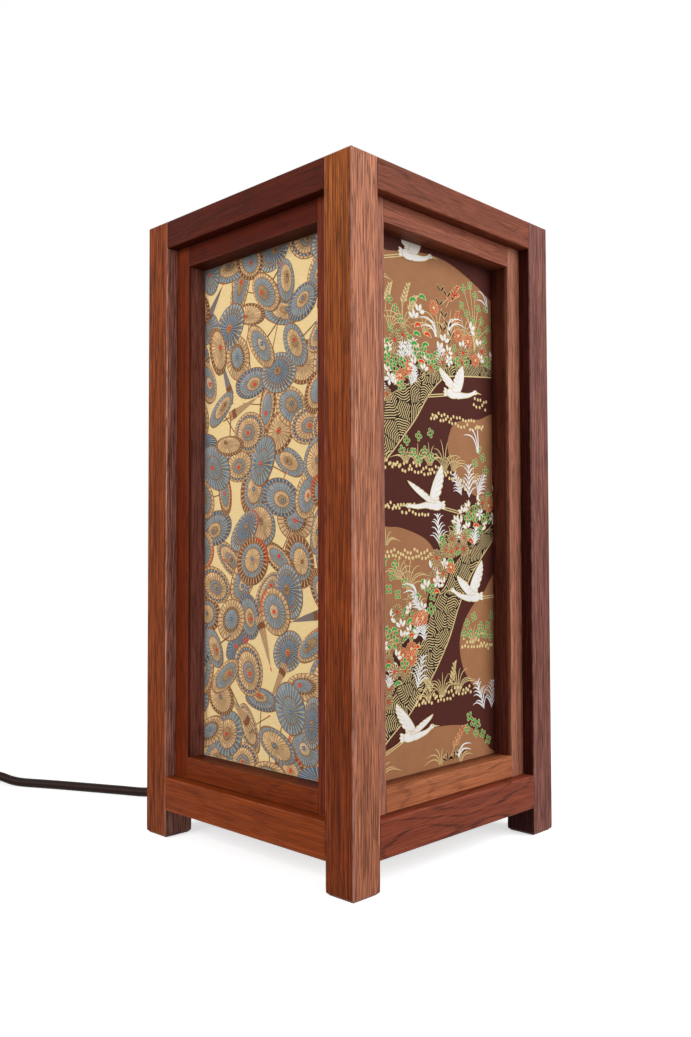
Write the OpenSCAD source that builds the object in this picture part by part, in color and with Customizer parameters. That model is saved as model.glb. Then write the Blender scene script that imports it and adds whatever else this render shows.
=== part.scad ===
// Square wooden table lantern: a frame of four posts and eight rails, an inner frame
// with a patterned paper in each side, a lamp holder and bulb on a board inside, and
// a cord with a hand switch and a plug. The lantern stands on z = 0, centred on the
// z axis. The front faces -Y and the cord leaves through the left side, -X.

/* [Frame] */
// Outer width of the square plan
width = 170; // [150:1:230]
// Height from the feet to the top
height = 360; // [300:1:480]
// Side of each square corner post, and depth of the outer rails
post_size = 19; // [18:0.5:23]
// Height of the four top rails
top_rail_height = 16; // [15:0.5:24]
// Height of the four bottom rails
bottom_rail_height = 19; // [18:0.5:26]
// Clear height of the feet below the bottom rails
foot_height = 16; // [12:0.5:24]
// Inward taper of each foot's faces at the ground
foot_taper = 0.3; // [0:0.1:0.6]
// Bevel round the foot's ground edge
foot_bevel = 1.4; // [0.5:0.1:2]
// Rounding of the long edges of the posts and outer rails
edge_radius = 0.8; // [0.4:0.1:1.2]
// Bevel round the top end of each post
top_bevel = 0.5; // [0.3:0.1:1]

/* [Joinery] */
// Length of the outer rails' tenons
tenon_length = 7; // [4:0.5:7]
// Thickness of the outer rails' tenons
tenon_thickness = 5; // [4:0.5:5]
// Distance from a rail's outer face to the middle of its tenon
tenon_setback = 7.5; // [6.5:0.5:7.5]
// Shoulder above and below each tenon
tenon_shoulder = 3; // [2:0.5:4]
// Room for glue round a tenon and at its end
glue_gap = 0.1; // [0.05:0.05:0.2]

/* [Inner frames] */
// Width of the inner stiles and rails, seen from the front
inner_width = 12; // [10:0.5:16]
// Distance from the posts' faces back to the inner frames' faces
inner_setback = 7; // [5:0.5:8]
// Rounding of the inner stiles' and rails' long edges
inner_edge_radius = 0.5; // [0.3:0.1:0.8]
// Length of the inner rails' stub tenons
stub_length = 5; // [3:0.5:7]
// Thickness of the inner rails' stub tenons
stub_thickness = 4; // [3:0.5:5]

/* [Papers] */
// Thickness of each patterned paper
paper_thickness = 0.3; // [0.2:0.05:0.5]
// Thickness of the pane behind each paper
pane_thickness = 2; // [1.5:0.5:3]
// How far a paper and its pane reach behind the inner frame
pane_lap = 4; // [3:0.5:4]
// Width of the foot of a bead, beside the pane
bead_foot = 3; // [2.5:0.5:3]
// How far a bead reaches over its pane
bead_lip = 2.5; // [2:0.5:3]
// Thickness of a bead's lip
bead_lip_thickness = 2; // [1:0.5:2]
// Diameter of the brass pins through the beads
bead_pin_diameter = 1.2; // [1:0.1:1.4]
// Depth of the brass pins in the inner frame
bead_pin_depth = 6; // [4:0.5:7]

/* [Base board] */
// Thickness of the base board
board_thickness = 6; // [5:0.5:8]
// Height of the board's underside above the bottom rails' lower edges
board_rise = 14; // [14:0.5:16]
// Gap between the board and the rails round it
board_gap = 0.5; // [0.3:0.1:1]
// Side of the two square cleats under the board
cleat_size = 10; // [8:0.5:11]
// Length of each cleat
cleat_length = 100; // [94:1:104]
// Spacing of the two screws along a cleat
cleat_screw_spacing = 80; // [60:1:84]
// Diameter of each vent hole
vent_diameter = 9; // [5:0.5:10]
// Radius of the circle of vent holes
vent_circle = 38; // [35:0.5:40]
// Number of vent holes
vent_count = 6; // [4:1:8]

/* [Lamp holder] */
// Radius of the holder's body
holder_radius = 20.5; // [19:0.5:21]
// Radius of the holder's flange
holder_flange = 28; // [27.5:0.5:29]
// Thickness of the holder's flange
holder_flange_thickness = 6; // [5:0.5:6]
// Radius of the wiring chamber in the holder's foot
chamber_radius = 15; // [14.8:0.1:15.5]
// Height of the wiring chamber
chamber_height = 14; // [12:0.5:18]
// Thickness of the floor between the chamber and the screw shell
holder_floor = 4; // [3:0.5:6]
// Height of the brass screw shell
shell_height = 26; // [22:0.5:28]
// Depth of the holder's mouth above the screw shell
holder_mouth = 2; // [1:0.5:3]
// Wall of the screw shell behind its thread
shell_wall = 0.75; // [0.5:0.05:0.9]
// Radial play between the shell's thread and the bulb's
thread_play = 0.3; // [0.25:0.05:0.4]
// Distance from the holder's axis to each of its two screws
holder_screw_offset = 23.8; // [23.6:0.1:24]
// Height of the centre contact's tongue above the holder's floor
contact_height = 3; // [2.5:0.5:4]

/* [Bulb] */
// Pitch of the bulb's screw thread
thread_pitch = 3.629; // [3.5:0.001:3.7]
// Mean radius of the bulb's screw thread
thread_radius = 12.65; // [12.4:0.05:12.8]
// Depth of the thread, crest to root
thread_depth = 1; // [0.8:0.1:1.2]
// Length of the threaded part of the bulb's cap
cap_thread_length = 20; // [18:0.5:22]
// Height of the plain skirt above the cap's thread
cap_skirt = 3.5; // [3:0.5:5]
// Radius of the bulb's dome
dome_radius = 30; // [27.5:0.5:32]
// Height of the bulb's housing, from the skirt to the dome
housing_height = 32; // [26:1:36]
// Wall of the dome and the housing
bulb_wall = 1.2; // [1:0.1:2]
// Running gap between the contact tip and the insulator round it
tip_play = 0.05; // [0.03:0.01:0.08]

/* [Cord] */
// Diameter of the cord
cord_diameter = 6; // [5.5:0.1:6]
// Height of the cord's hole above the left bottom rail's lower edge
cord_exit_rise = 7.5; // [7.5:0.5:8]
// Diameter of the bush where it passes the rail
bush_diameter = 8.2; // [7.8:0.1:8.6]
// Diameter of the bush's outer collar
bush_collar = 13; // [12:0.5:14]
// Thickness of the bush's outer collar
bush_collar_thickness = 2.5; // [2:0.5:3]
// Length of the bush outside the rail, its tapered sleeve included
bush_reach = 22; // [20:1:22]
// Clearance round the cord, the bush, the screws and the pins
fit_clearance = 0.1; // [0.05:0.05:0.15]
// Thickness of the strap round the coil
tie_thickness = 0.6; // [0.4:0.1:0.6]
// Width of the strap round the coil
tie_width = 9; // [6:1:14]

/* [Switch and plug] */
// Length of the hand switch
switch_length = 60; // [56:1:60]
// Width of the hand switch
switch_width = 22; // [21:0.5:25]
// Wall of the switch's two halves
switch_wall = 1.8; // [1.5:0.1:2]
// Height of the switch's parting line, which is the cord's axis there
switch_split = 7.5; // [7.5:0.5:8]
// Length of the rocker
rocker_length = 16.4; // [14:0.2:18]
// Width of the rocker
rocker_width = 8; // [7:0.5:9]
// Tilt of the rocker either side of level
rocker_tilt = 8; // [6:0.5:9]
// Width of the plug's body
plug_width = 24; // [22:0.5:26]
// Length of the plug's body
plug_length = 26; // [24:1:30]
// Length of the plug's tapered sleeve
plug_sleeve = 24; // [20:1:26]
// Height of the plug's axis above the table, half the height of its body
plug_axis = 8; // [8:0.5:9]
// Distance between the middles of the two blades
blade_spacing = 12.7; // [12:0.1:13]
// Length of the blades outside the plug
blade_length = 17.5; // [16:0.5:18.5]

/* [Hidden] */
face_names = ["front", "right", "back", "left"];
corner_names = ["front_left", "front_right", "back_right", "back_left"];
$fn = 48;

wood = "saddlebrown";
wood_red = "#7a3b22";
brass = "#c8a24a";
plastic = "#2e1a12";

// Frame levels
post_centre = (width - post_size) / 2;
rail_length = width - 2 * post_size;
top_rail_bottom = height - top_rail_height;
bottom_rail_top = foot_height + bottom_rail_height;
end_gap = 3 * glue_gap;

// Inner frames
inner_depth = post_size - inner_setback;
inner_height = top_rail_bottom - bottom_rail_top;
opening_width = rail_length - 2 * inner_width;
opening_bottom = bottom_rail_top + inner_width;
opening_top = top_rail_bottom - inner_width;
panel_plane = -width / 2 + post_size;

// Papers, panes and beads
pane_width = opening_width + 2 * pane_lap;
pane_bottom = opening_bottom - pane_lap;
pane_top = opening_top + pane_lap;
bead_depth = paper_thickness + pane_thickness + bead_lip_thickness;
bead_width = bead_foot + bead_lip;
pin_head_diameter = 2 * bead_pin_diameter;
pin_head_thickness = 0.5;
pin_end_margin = 12;

// Base board, screws and cord clamp
board_bottom = foot_height + board_rise;
board_top = board_bottom + board_thickness;
board_width = rail_length - 2 * board_gap;
cleat_centre = rail_length / 2 - cleat_size / 2;
screw_diameter = 2.9;
screw_head_diameter = 5.8;
screw_head_height = 1.8;
screw_length = 11;
cord_exit_y = -27;
cord_exit_z = foot_height + cord_exit_rise;
clamp_inset = 19.5;
clamp_x = -board_width / 2 + clamp_inset;
clamp_length = 10;
clamp_screw_offset = 9;
clamp_ear = 5.5;
clamp_width = 26;

// Lamp holder, measured up from the board
shell_floor = board_top + chamber_height + holder_floor;
holder_height = chamber_height + holder_floor + shell_height + holder_mouth;
thread_segments = 24;
thread_rows = 6;
shell_thread_radius = thread_radius + thread_play;
shell_radius = shell_thread_radius + thread_depth / 2 + shell_wall;
holder_bore = shell_radius + 0.3;
shell_foot_thickness = 0.6;
shell_foot_radius = 10.5;
terminal_size = 5;
terminal_left = -8.5;
terminal_right = 11.5;
terminal_bottom = shell_floor - holder_floor - terminal_size;
contact_start = terminal_left - 1.4;
rivet_diameter = 2.2;
wire_diameter = 2.4;
wire_entry = 3;

// Bulb, measured up from the holder's floor
tip_bottom = contact_height + tip_play;
tip_height = 1.2;
tip_stem_radius = 2;
insulator_bottom = tip_bottom + tip_height + tip_play;
cap_bottom = insulator_bottom + 2.2;
cap_bore = 11.4;
cap_top = cap_bottom + cap_thread_length + cap_skirt;
skirt_radius = 13.2;
housing_top = cap_top + housing_height;
housing_rim = dome_radius - 2.5;
light_circle = 14;
light_size = 3;
dome_centre = housing_top + sqrt(dome_radius * dome_radius - housing_rim * housing_rim);

// Cord, measured from the middle of its hole on the left rail's outer face. The
// third value of the ground points is the height of the cord's axis.
lead_points = [
    [-28, 0, 23.5], [-36.2, -0.5, 22.3], [-43.8, -1.8, 18.8], [-50, -3.5, 13.2],
    [-56.2, -5.7, 7.7], [-63.8, -9.2, 4.2], [-72, -13.2, 3],
    [-86, -20, 3], [-100, -27, 3], [-114, -34, 3], [-128, -41, 3],
    [-142, -48.5, 3], [-156, -56, 3], [-164, -60.5, 3.9], [-172, -65, 6.2],
];
// The last stretch runs straight from the coil to the plug. Each pair is the distance
// from the coil's end and the height of the cord's axis.
tail_steps = [
    [7.1, 9.4], [14, 6.6], [21.1, 3.9], [28, 3], [36, 3], [42.5, 3.6], [49, 5.5], [55.5, 7.4],
];
tail_length = 68;
// The two lead wires run from the cord's end to the terminals. The third value is
// the share of the climb from the cord to the terminal.
near_wire_points = [
    [-20, -25, 0], [-14, -21.5, 0], [-10.2, -15.5, 0.04], [-8.8, -9.5, 0.17],
    [-8.5, -4.6, 0.39], [-8.5, -1.2, 0.64], [-8.5, 0, 0.84],
];
far_wire_points = [
    [-17, -28.2, 0], [-8, -26.8, 0], [0, -23.5, 0], [6, -18.5, 0.01],
    [9.8, -12.5, 0.09], [11.3, -6.8, 0.27], [11.5, -2.3, 0.51], [11.5, 0, 0.76],
];
sheath_end = -26;
wire_offset = 1.3;
cord_radius = cord_diameter / 2;
cord_heading = 210;
heading = [cos(cord_heading), sin(cord_heading), 0];
leftwards = [-sin(cord_heading), cos(cord_heading), 0];
switch_centre = [-207, -85, 0];
coil_radius = 35;
coil_turns = 6.15;
coil_gap = 0.6;
coil_rings = 24;
coil_sides = 6;
coil_pitch = cord_diameter + coil_gap;
coil_outer = coil_radius + coil_turns * coil_pitch / 4;
coil_lower = tie_thickness + fit_clearance + cord_radius;
coil_upper = coil_lower + coil_pitch;
tie_turn = coil_turns / 2 - 2.5;

// Past the switch the cord turns back to the left in an arc, runs straight and meets
// the coil's outer turn
turn_start = 33;
turn_radius = 28;
turn_sweep = 108;
turn_drop = 72;
turn_run = 41.5;
turn_centre = switch_centre + turn_start * heading + turn_radius * leftwards;
coil_start = cord_heading - 90 + turn_sweep;
coil_out = [cos(coil_start), sin(coil_start), 0];
coil_way = [-sin(coil_start), cos(coil_start), 0];
coil_centre = turn_centre + (turn_radius - coil_outer) * coil_out + turn_run * coil_way;
tail_heading = coil_start + 90 + 360 * coil_turns;
tail_way = [cos(tail_heading), sin(tail_heading), 0];

// Switch
switch_half = switch_length / 2;
switch_height = 2 * switch_split;
switch_inlet = 18;
rocker_axis = switch_split + 3.5;
rocker_pin_radius = 1.2;
rocker_pin_length = rocker_width + 3.6;
rocker_top = 5.3;
switch_screw_x = 21;
switch_screw_y = 6;
switch_screw_radius = 1;
switch_screw_end = 11;

// Plug
blade_root = 6;
blade_thickness = 1.5;
blade_height = 6.3;

// Outline of a rectangle with rounded corners, centred on the origin
function rounded_outline(x, y, radius, steps = 4) = [
    for (q = [0:3])
        for (i = [0:steps])
            let (a = 90 * (q + i / steps))
            [
                (q == 0 || q == 3 ? 1 : -1) * (x / 2 - radius) + radius * cos(a),
                (q < 2 ? 1 : -1) * (y / 2 - radius) + radius * sin(a),
            ]
];

function unit(v) = v / norm(v);

// Direction of a route at its point i
function route_direction(points, i) =
    unit(points[min(i + 1, len(points) - 1)] - points[max(i - 1, 0)]);

// One ring of a tube, square to the route. The reference is any direction that the
// route never takes
function tube_ring(centre, along, radius, sides, reference = [0, 0, 1]) =
    let (across = unit(cross(along, reference)), above = cross(across, along))
    [
        for (k = [0:sides - 1])
            let (a = 360 * (k + 0.5) / sides)
            centre + radius * (sin(a) * across + cos(a) * above)
    ];

// Radius of a screw thread that climbs one pitch per turn
function thread_at(mean, z, a) =
    mean + thread_depth / 2 * cos(360 * z / thread_pitch - a);

// Length of the coil up to turn t, and the coil's axis there: it spirals in for half
// the turns, climbs a layer while it reverses, and spirals out again
function coil_radius_at(t) = coil_outer - coil_pitch * (coil_turns / 2 - abs(t - coil_turns / 2));
function coil_height_at(t) =
    let (share = min(max(2 * (t - coil_turns / 2) + 0.5, 0), 1))
    coil_lower + coil_pitch * share * share * (3 - 2 * share);
function coil_point(t) =
    let (a = coil_start + 360 * t)
    [
        coil_centre[0] + coil_radius_at(t) * cos(a),
        coil_centre[1] + coil_radius_at(t) * sin(a),
        coil_height_at(t),
    ];
function coil_end(t, reach) =
    let (a = coil_start + 360 * t)
    coil_point(t) + reach * cord_diameter * [-sin(a), cos(a), 0];
coil_route = concat(
    [coil_end(0, -1)],
    [for (i = [0:coil_turns * coil_rings]) coil_point(i / coil_rings)],
    [coil_end(coil_turns, 1)]
);

// Least gap between turns, measured on the tube's rings more than half a turn apart
coil_ring_points = [
    for (i = [0:len(coil_route) - 1])
        tube_ring(coil_route[i], route_direction(coil_route, i), cord_radius, coil_sides)
];
coil_least_gap = min([
    for (i = [0:len(coil_route) - 1])
        for (j = [i + coil_rings / 2:1:len(coil_route) - 1])
            if (norm(coil_route[i] - coil_route[j]) < 2 * coil_pitch)
                min([for (p = coil_ring_points[i]) for (q = coil_ring_points[j]) norm(p - q)])
]);
echo(coil_least_gap = coil_least_gap);

// A closed tube swept along a route
module tube(points, radius, sides, reference = [0, 0, 1]) {
    last = len(points) - 1;
    rings = [
        for (i = [0:last])
            each tube_ring(points[i], route_direction(points, i), radius, sides, reference)
    ];
    walls = [
        for (i = [0:last - 1])
            for (k = [0:sides - 1])
                let (a = i * sides + k, b = i * sides + (k + 1) % sides)
                each [[a, b, b + sides], [a, b + sides, a + sides]]
    ];
    start_cap = [for (k = [1:sides - 2]) [0, k + 1, k]];
    end_cap = [
        for (k = [1:sides - 2])
            [last * sides, last * sides + k, last * sides + k + 1]
    ];
    polyhedron(points = rings, faces = concat(walls, start_cap, end_cap));
}

// A closed ring turned from a profile of [radius, height, threaded] points, in
// order round the section, with the threaded points following the screw thread
module threaded_ring(profile) {
    n = thread_segments;
    count = len(profile);
    points = [
        for (p = profile)
            for (i = [0:n - 1])
                let (a = 360 * i / n, r = p[2] ? thread_at(p[0], p[1], a) : p[0])
                [r * cos(a), r * sin(a), p[1]]
    ];
    faces = [
        for (j = [0:count - 1])
            for (i = [0:n - 1])
                let (
                    a = j * n + i,
                    b = j * n + (i + 1) % n,
                    c = (j + 1) % count * n + (i + 1) % n,
                    d = (j + 1) % count * n + i
                )
                each [[a, b, c], [a, c, d]]
    ];
    polyhedron(points = points, faces = faces);
}

// A bar along X with rounded long edges
module bar(length, depth, bar_height, radius) {
    rotate([90, 0, 90])
        translate([0, 0, -length / 2])
            linear_extrude(length)
                polygon(rounded_outline(depth, bar_height, radius));
}

// The outer rails' tenons, or their mortises where gap is above zero
module rail_tenons(rail_bottom, rail_height, gap, deeper) {
    reach = tenon_length + deeper;
    for (side = [-1, 1])
        translate([
            side * (rail_length + reach) / 2,
            -width / 2 + tenon_setback,
            rail_bottom + rail_height / 2,
        ])
            cube(
                [reach, tenon_thickness + 2 * gap, rail_height - 2 * tenon_shoulder + 2 * gap],
                center = true
            );
}

module post_mortises() {
    rail_tenons(top_rail_bottom, top_rail_height, glue_gap, end_gap);
    rail_tenons(foot_height, bottom_rail_height, glue_gap, end_gap);
}

// Side outline of a post, with its tapered foot and bevelled ends
module post_side() {
    foot = post_size / 2 - foot_taper;
    linear_extrude(2 * post_size, center = true)
        polygon([
            [-foot + foot_bevel, 0],
            [foot - foot_bevel, 0],
            [foot, foot_bevel],
            [post_size / 2, foot_height],
            [post_size / 2, height - top_bevel],
            [post_size / 2 - top_bevel, height],
            [-post_size / 2 + top_bevel, height],
            [-post_size / 2, height - top_bevel],
            [-post_size / 2, foot_height],
            [-foot, foot_bevel],
        ]);
}

module post() {
    color(wood) difference() {
        translate([-post_centre, -post_centre, 0]) intersection() {
            linear_extrude(height) polygon(rounded_outline(post_size, post_size, edge_radius));
            rotate([90, 0, 0]) post_side();
            rotate([90, 0, 90]) post_side();
        }
        post_mortises();
        rotate(-90) post_mortises();
    }
}

module outer_rail(rail_bottom, rail_height) {
    color(wood_red) {
        translate([0, -post_centre, rail_bottom + rail_height / 2])
            bar(rail_length, post_size, rail_height, edge_radius);
        rail_tenons(rail_bottom, rail_height, 0, 0);
    }
}

module top_rail() {
    outer_rail(top_rail_bottom, top_rail_height);
}

module bottom_rail(face) {
    difference() {
        rotate(90 * face) outer_rail(foot_height, bottom_rail_height);
        if (face_names[face] == "left")
            cord_hole(bush_diameter / 2 + fit_clearance, -width / 2, post_size);
    }
}

// A round hole along the cord's axis through the left side
module cord_hole(radius, start, length) {
    translate([start - 1, cord_exit_y, cord_exit_z])
        rotate([0, 90, 0])
            cylinder(r = radius, h = length + 2);
}

// Stub tenons of the two inner rails, or their mortises where gap is above zero
module inner_stubs(gap, deeper) {
    reach = stub_length + deeper;
    for (side = [-1, 1])
        for (z = [opening_bottom - inner_width / 2, opening_top + inner_width / 2])
            translate([side * (opening_width + reach) / 2, panel_plane - inner_depth / 2, z])
                cube(
                    [reach, stub_thickness + 2 * gap, inner_width / 2 + 2 * gap],
                    center = true
                );
}

// Places of the pins along a bead: [distance along the front, height] of each
function pin_places() =
    let (
        side = pane_width / 2 + bead_foot / 2,
        low = pane_bottom - bead_foot / 2,
        high = pane_top + bead_foot / 2,
        middle = (pane_bottom + pane_top) / 2
    )
    concat(
        [for (s = [-1, 1]) for (z = [low + pin_end_margin, middle, high - pin_end_margin]) [s * side, z]],
        [for (s = [-1, 1]) for (z = [low, high]) [s * opening_width / 4, z]]
    );

module bead_pin_holes() {
    for (p = pin_places())
        translate([p[0], panel_plane - bead_pin_depth - end_gap, p[1]])
            rotate([-90, 0, 0])
                cylinder(
                    r = bead_pin_diameter / 2 + fit_clearance / 2,
                    h = bead_pin_depth + end_gap + bead_depth + 1,
                    $fn = 16
                );
}

module inner_stiles() {
    color(wood) difference() {
        for (side = [-1, 1])
            translate([
                side * (rail_length - inner_width) / 2,
                panel_plane - inner_depth / 2,
                bottom_rail_top,
            ])
                linear_extrude(inner_height)
                    polygon(rounded_outline(inner_width, inner_depth, inner_edge_radius));
        inner_stubs(glue_gap, end_gap);
        bead_pin_holes();
    }
}

module inner_rails() {
    color(wood_red) difference() {
        union() {
            for (z = [opening_bottom - inner_width / 2, opening_top + inner_width / 2])
                translate([0, panel_plane - inner_depth / 2, z])
                    bar(opening_width, inner_depth, inner_width, inner_edge_radius);
            inner_stubs(0, 0);
        }
        bead_pin_holes();
    }
}

module paper() {
    color("wheat")
        translate([-pane_width / 2, panel_plane, pane_bottom])
            cube([pane_width, paper_thickness, pane_top - pane_bottom]);
}

module pane() {
    color("ivory")
        translate([-pane_width / 2, panel_plane + paper_thickness, pane_bottom])
            cube([pane_width, pane_thickness, pane_top - pane_bottom]);
}

// One L-shaped bead along Z, with its foot's outer edge on x = 0 and its lip
// reaching to +X over the pane
module bead(length) {
    foot = bead_foot - fit_clearance;
    linear_extrude(length)
        polygon([
            [0, 0],
            [foot, 0],
            [foot, bead_depth - bead_lip_thickness],
            [bead_width, bead_depth - bead_lip_thickness],
            [bead_width, bead_depth],
            [0, bead_depth],
        ]);
}

module face_beads() {
    side = pane_width / 2 + bead_foot;
    across = 2 * (side - bead_width) - 2 * fit_clearance;
    low = pane_bottom - bead_foot;
    long = pane_top - pane_bottom + 2 * bead_foot;
    translate([0, panel_plane, 0]) {
        translate([-side, 0, low]) bead(long);
        translate([side, 0, low]) mirror([1, 0, 0]) bead(long);
        translate([across / 2, 0, low]) rotate([0, -90, 0]) bead(across);
        translate([-across / 2, 0, low + long]) rotate([0, 90, 0]) bead(across);
    }
}

module pane_beads() {
    color(wood)
        for (face = [0:3])
            rotate(90 * face) difference() {
                face_beads();
                bead_pin_holes();
            }
}

module bead_pins() {
    color(brass)
        for (face = [0:3])
            rotate(90 * face)
                for (p = pin_places())
                    translate([p[0], panel_plane + bead_depth, p[1]])
                        rotate([90, 0, 0]) {
                            cylinder(r = bead_pin_diameter / 2, h = bead_depth + bead_pin_depth, $fn = 16);
                            translate([0, 0, -pin_head_thickness])
                                cylinder(r = pin_head_diameter / 2, h = pin_head_thickness, $fn = 16);
                        }
}

// A countersunk wood screw with its head's top on z = 0, pointing down
module wood_screw() {
    difference() {
        rotate_extrude()
            polygon([
                [0, 0],
                [screw_head_diameter / 2, 0],
                [screw_diameter / 2, -screw_head_height],
                [screw_diameter / 2, -screw_length + 2],
                [0, -screw_length],
            ]);
        for (turn = [0, 90])
            rotate(turn) cube([3, 0.6, 1.6], center = true);
    }
}

// The room that a wood screw needs, from its head's top on z = 0 down
module screw_hole() {
    grow = fit_clearance;
    rotate_extrude()
        polygon([
            [0, 0.5],
            [screw_head_diameter / 2 + grow, 0.5],
            [screw_head_diameter / 2 + grow, -grow],
            [screw_diameter / 2 + grow, -screw_head_height - grow],
            [screw_diameter / 2 + grow, -screw_length - grow],
            [0, -screw_length - grow],
        ]);
}

// Places its children at every wood screw, head outwards
module at_screws() {
    for (x = [-1, 1])
        for (y = [-1, 1])
            translate([x * cleat_screw_spacing / 2, y * cleat_centre, board_top]) children();
    for (x = [-1, 1])
        translate([x * holder_screw_offset, 0, board_top + holder_flange_thickness]) children();
    for (y = [-1, 1])
        translate([clamp_x, cord_exit_y + y * clamp_screw_offset, board_bottom - clamp_ear])
            rotate([180, 0, 0]) children();
}

module wood_screws() {
    color(brass) at_screws() wood_screw();
}

module base_board() {
    color("peru") difference() {
        translate([-board_width / 2, -board_width / 2, board_bottom])
            cube([board_width, board_width, board_thickness]);
        translate([0, 0, board_bottom - 1]) cylinder(r = chamber_radius, h = board_thickness + 2);
        for (i = [0:vent_count - 1])
            rotate(360 * (i + 0.5) / vent_count)
                translate([vent_circle, 0, board_bottom - 1])
                    cylinder(r = vent_diameter / 2, h = board_thickness + 2, $fn = 32);
        at_screws() screw_hole();
    }
}

module board_cleats() {
    color("peru") difference() {
        for (y = [-1, 1])
            translate([0, y * cleat_centre, board_bottom - cleat_size / 2])
                cube([cleat_length, cleat_size, cleat_size], center = true);
        at_screws() screw_hole();
    }
}

module holder_body() {
    bore_bottom = chamber_height + holder_floor;
    color("#3a2a22") difference() {
        translate([0, 0, board_top])
            rotate_extrude($fn = 72)
                polygon([
                    [chamber_radius, 0],
                    [holder_flange, 0],
                    [holder_flange, holder_flange_thickness - 1],
                    [holder_flange - 1, holder_flange_thickness],
                    [holder_radius, holder_flange_thickness],
                    [holder_radius, holder_height - 1],
                    [holder_radius - 1, holder_height],
                    [holder_bore, holder_height],
                    [holder_bore, bore_bottom],
                    [0, bore_bottom],
                    [0, chamber_height],
                    [chamber_radius, chamber_height],
                ]);
        at_screws() screw_hole();
        terminal_rivets(fit_clearance / 2);
    }
}

// Rivets from the terminals up through the holder's floor
module terminal_rivets(gap) {
    for (x = [terminal_left, terminal_right + 0.5])
        translate([x, 0, shell_floor - holder_floor])
            cylinder(r = rivet_diameter / 2 + gap, h = holder_floor, $fn = 24);
}

module holder_terminals() {
    color(brass) {
        difference() {
            for (x = [terminal_left, terminal_right])
                translate([x, 0, terminal_bottom + terminal_size / 2])
                    cube(terminal_size, center = true);
            for (x = [terminal_left, terminal_right])
                translate([x, 0, terminal_bottom - 1])
                    cylinder(r = wire_diameter / 2 + fit_clearance, h = wire_entry + 1, $fn = 24);
        }
        terminal_rivets(0);
    }
}

module holder_screw_shell() {
    step = thread_pitch / thread_rows;
    rows = floor((shell_height - shell_foot_thickness - 1) / step);
    start = shell_height - 1 - rows * step;
    color(brass)
        translate([0, 0, shell_floor])
            threaded_ring(concat(
                [[shell_radius, 0, false], [shell_radius, shell_height, false]],
                [[shell_radius - shell_wall / 2, shell_height, false]],
                [for (i = [rows:-1:0]) [shell_thread_radius, start + i * step, true]],
                [
                    [shell_thread_radius + thread_depth / 2, shell_foot_thickness, false],
                    [shell_foot_radius, shell_foot_thickness, false],
                    [shell_foot_radius, 0, false],
                ]
            ));
}

// A leaf of brass strip: a foot on the floor and a tongue that bends up to the tip
module holder_contact() {
    strip = 0.5;
    color(brass)
        translate([0, 3, shell_floor])
            rotate([90, 0, 0])
                linear_extrude(6)
                    polygon([
                        [contact_start, 0],
                        [2, 0],
                        [5, contact_height - strip],
                        [5, contact_height],
                        [-3.5, contact_height],
                        [-3.5, contact_height - strip],
                        [3.6, contact_height - strip],
                        [1.6, strip],
                        [contact_start, strip],
                    ]);
}

module bulb_contact_tip() {
    color("silver")
        translate([0, 0, shell_floor + tip_bottom])
            rotate_extrude()
                polygon([
                    [0, 0],
                    [3.6, 0],
                    [4.6, 0.5],
                    [4.6, tip_height],
                    [tip_stem_radius, tip_height],
                    [tip_stem_radius, tip_height + 4],
                    [0, tip_height + 4],
                ]);
}

module bulb_insulator() {
    rise = cap_bottom - insulator_bottom;
    hole = tip_stem_radius + tip_play;
    color("#151515")
        translate([0, 0, shell_floor + insulator_bottom])
            rotate_extrude()
                polygon([
                    [hole, 0],
                    [5.6, 0],
                    [thread_radius - 0.7, rise - 0.3],
                    [thread_radius - 0.7, rise],
                    [cap_bore - fit_clearance, rise],
                    [cap_bore - fit_clearance, rise + 2.5],
                    [hole, rise + 2.5],
                ]);
}

module bulb_screw_cap() {
    step = thread_pitch / thread_rows;
    rows = floor((cap_thread_length - 1) / step);
    start = cap_bottom + 0.5;
    color("silver")
        translate([0, 0, shell_floor])
            threaded_ring(concat(
                [[cap_bore, cap_bottom, false], [thread_radius - thread_depth / 2 - 0.2, cap_bottom, false]],
                [for (i = [0:rows]) [thread_radius, start + i * step, true]],
                [
                    [skirt_radius, cap_top - cap_skirt + 0.4, false],
                    [skirt_radius, cap_top, false],
                    [cap_bore, cap_top, false],
                ]
            ));
}

module bulb_housing() {
    neck = cap_bore - fit_clearance;
    neck_bottom = insulator_bottom + cap_bottom - insulator_bottom + 2.5;
    color("whitesmoke")
        translate([0, 0, shell_floor])
            rotate_extrude($fn = 72)
                polygon([
                    [neck - 1.5, neck_bottom],
                    [neck, neck_bottom],
                    [neck, cap_top],
                    [skirt_radius + 0.8, cap_top],
                    [skirt_radius + 4, cap_top + 0.3 * housing_height],
                    [housing_rim - 4.5, cap_top + 0.7 * housing_height],
                    [housing_rim, housing_top],
                    [housing_rim - bulb_wall, housing_top],
                    [housing_rim - bulb_wall - 0.6, housing_top - 1.2],
                    [housing_rim - 3, housing_top - 1.2],
                    [housing_rim - 7.5, cap_top + 0.64 * housing_height],
                    [skirt_radius + 0.6, cap_top + 0.3 * housing_height],
                    [neck - 1.5, cap_top + 2],
                ]);
}

module bulb_light_board() {
    color("white")
        translate([0, 0, shell_floor + housing_top - 1.2]) {
            cylinder(r = housing_rim - bulb_wall - 0.8, h = 1.2, $fn = 72);
            for (i = [0:7])
                rotate(45 * i)
                    translate([light_circle, 0, 1.2 + 0.3])
                        cube([light_size, light_size, 0.6], center = true);
        }
}

module bulb_dome() {
    color("white") difference() {
        translate([0, 0, shell_floor + dome_centre]) sphere(r = dome_radius, $fn = 72);
        translate([0, 0, shell_floor + dome_centre]) sphere(r = dome_radius - bulb_wall, $fn = 72);
        translate([-dome_radius, -dome_radius, shell_floor + dome_centre - 2 * dome_radius])
            cube([2 * dome_radius, 2 * dome_radius, 2 * dome_radius - dome_centre + housing_top]);
    }
}

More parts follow.
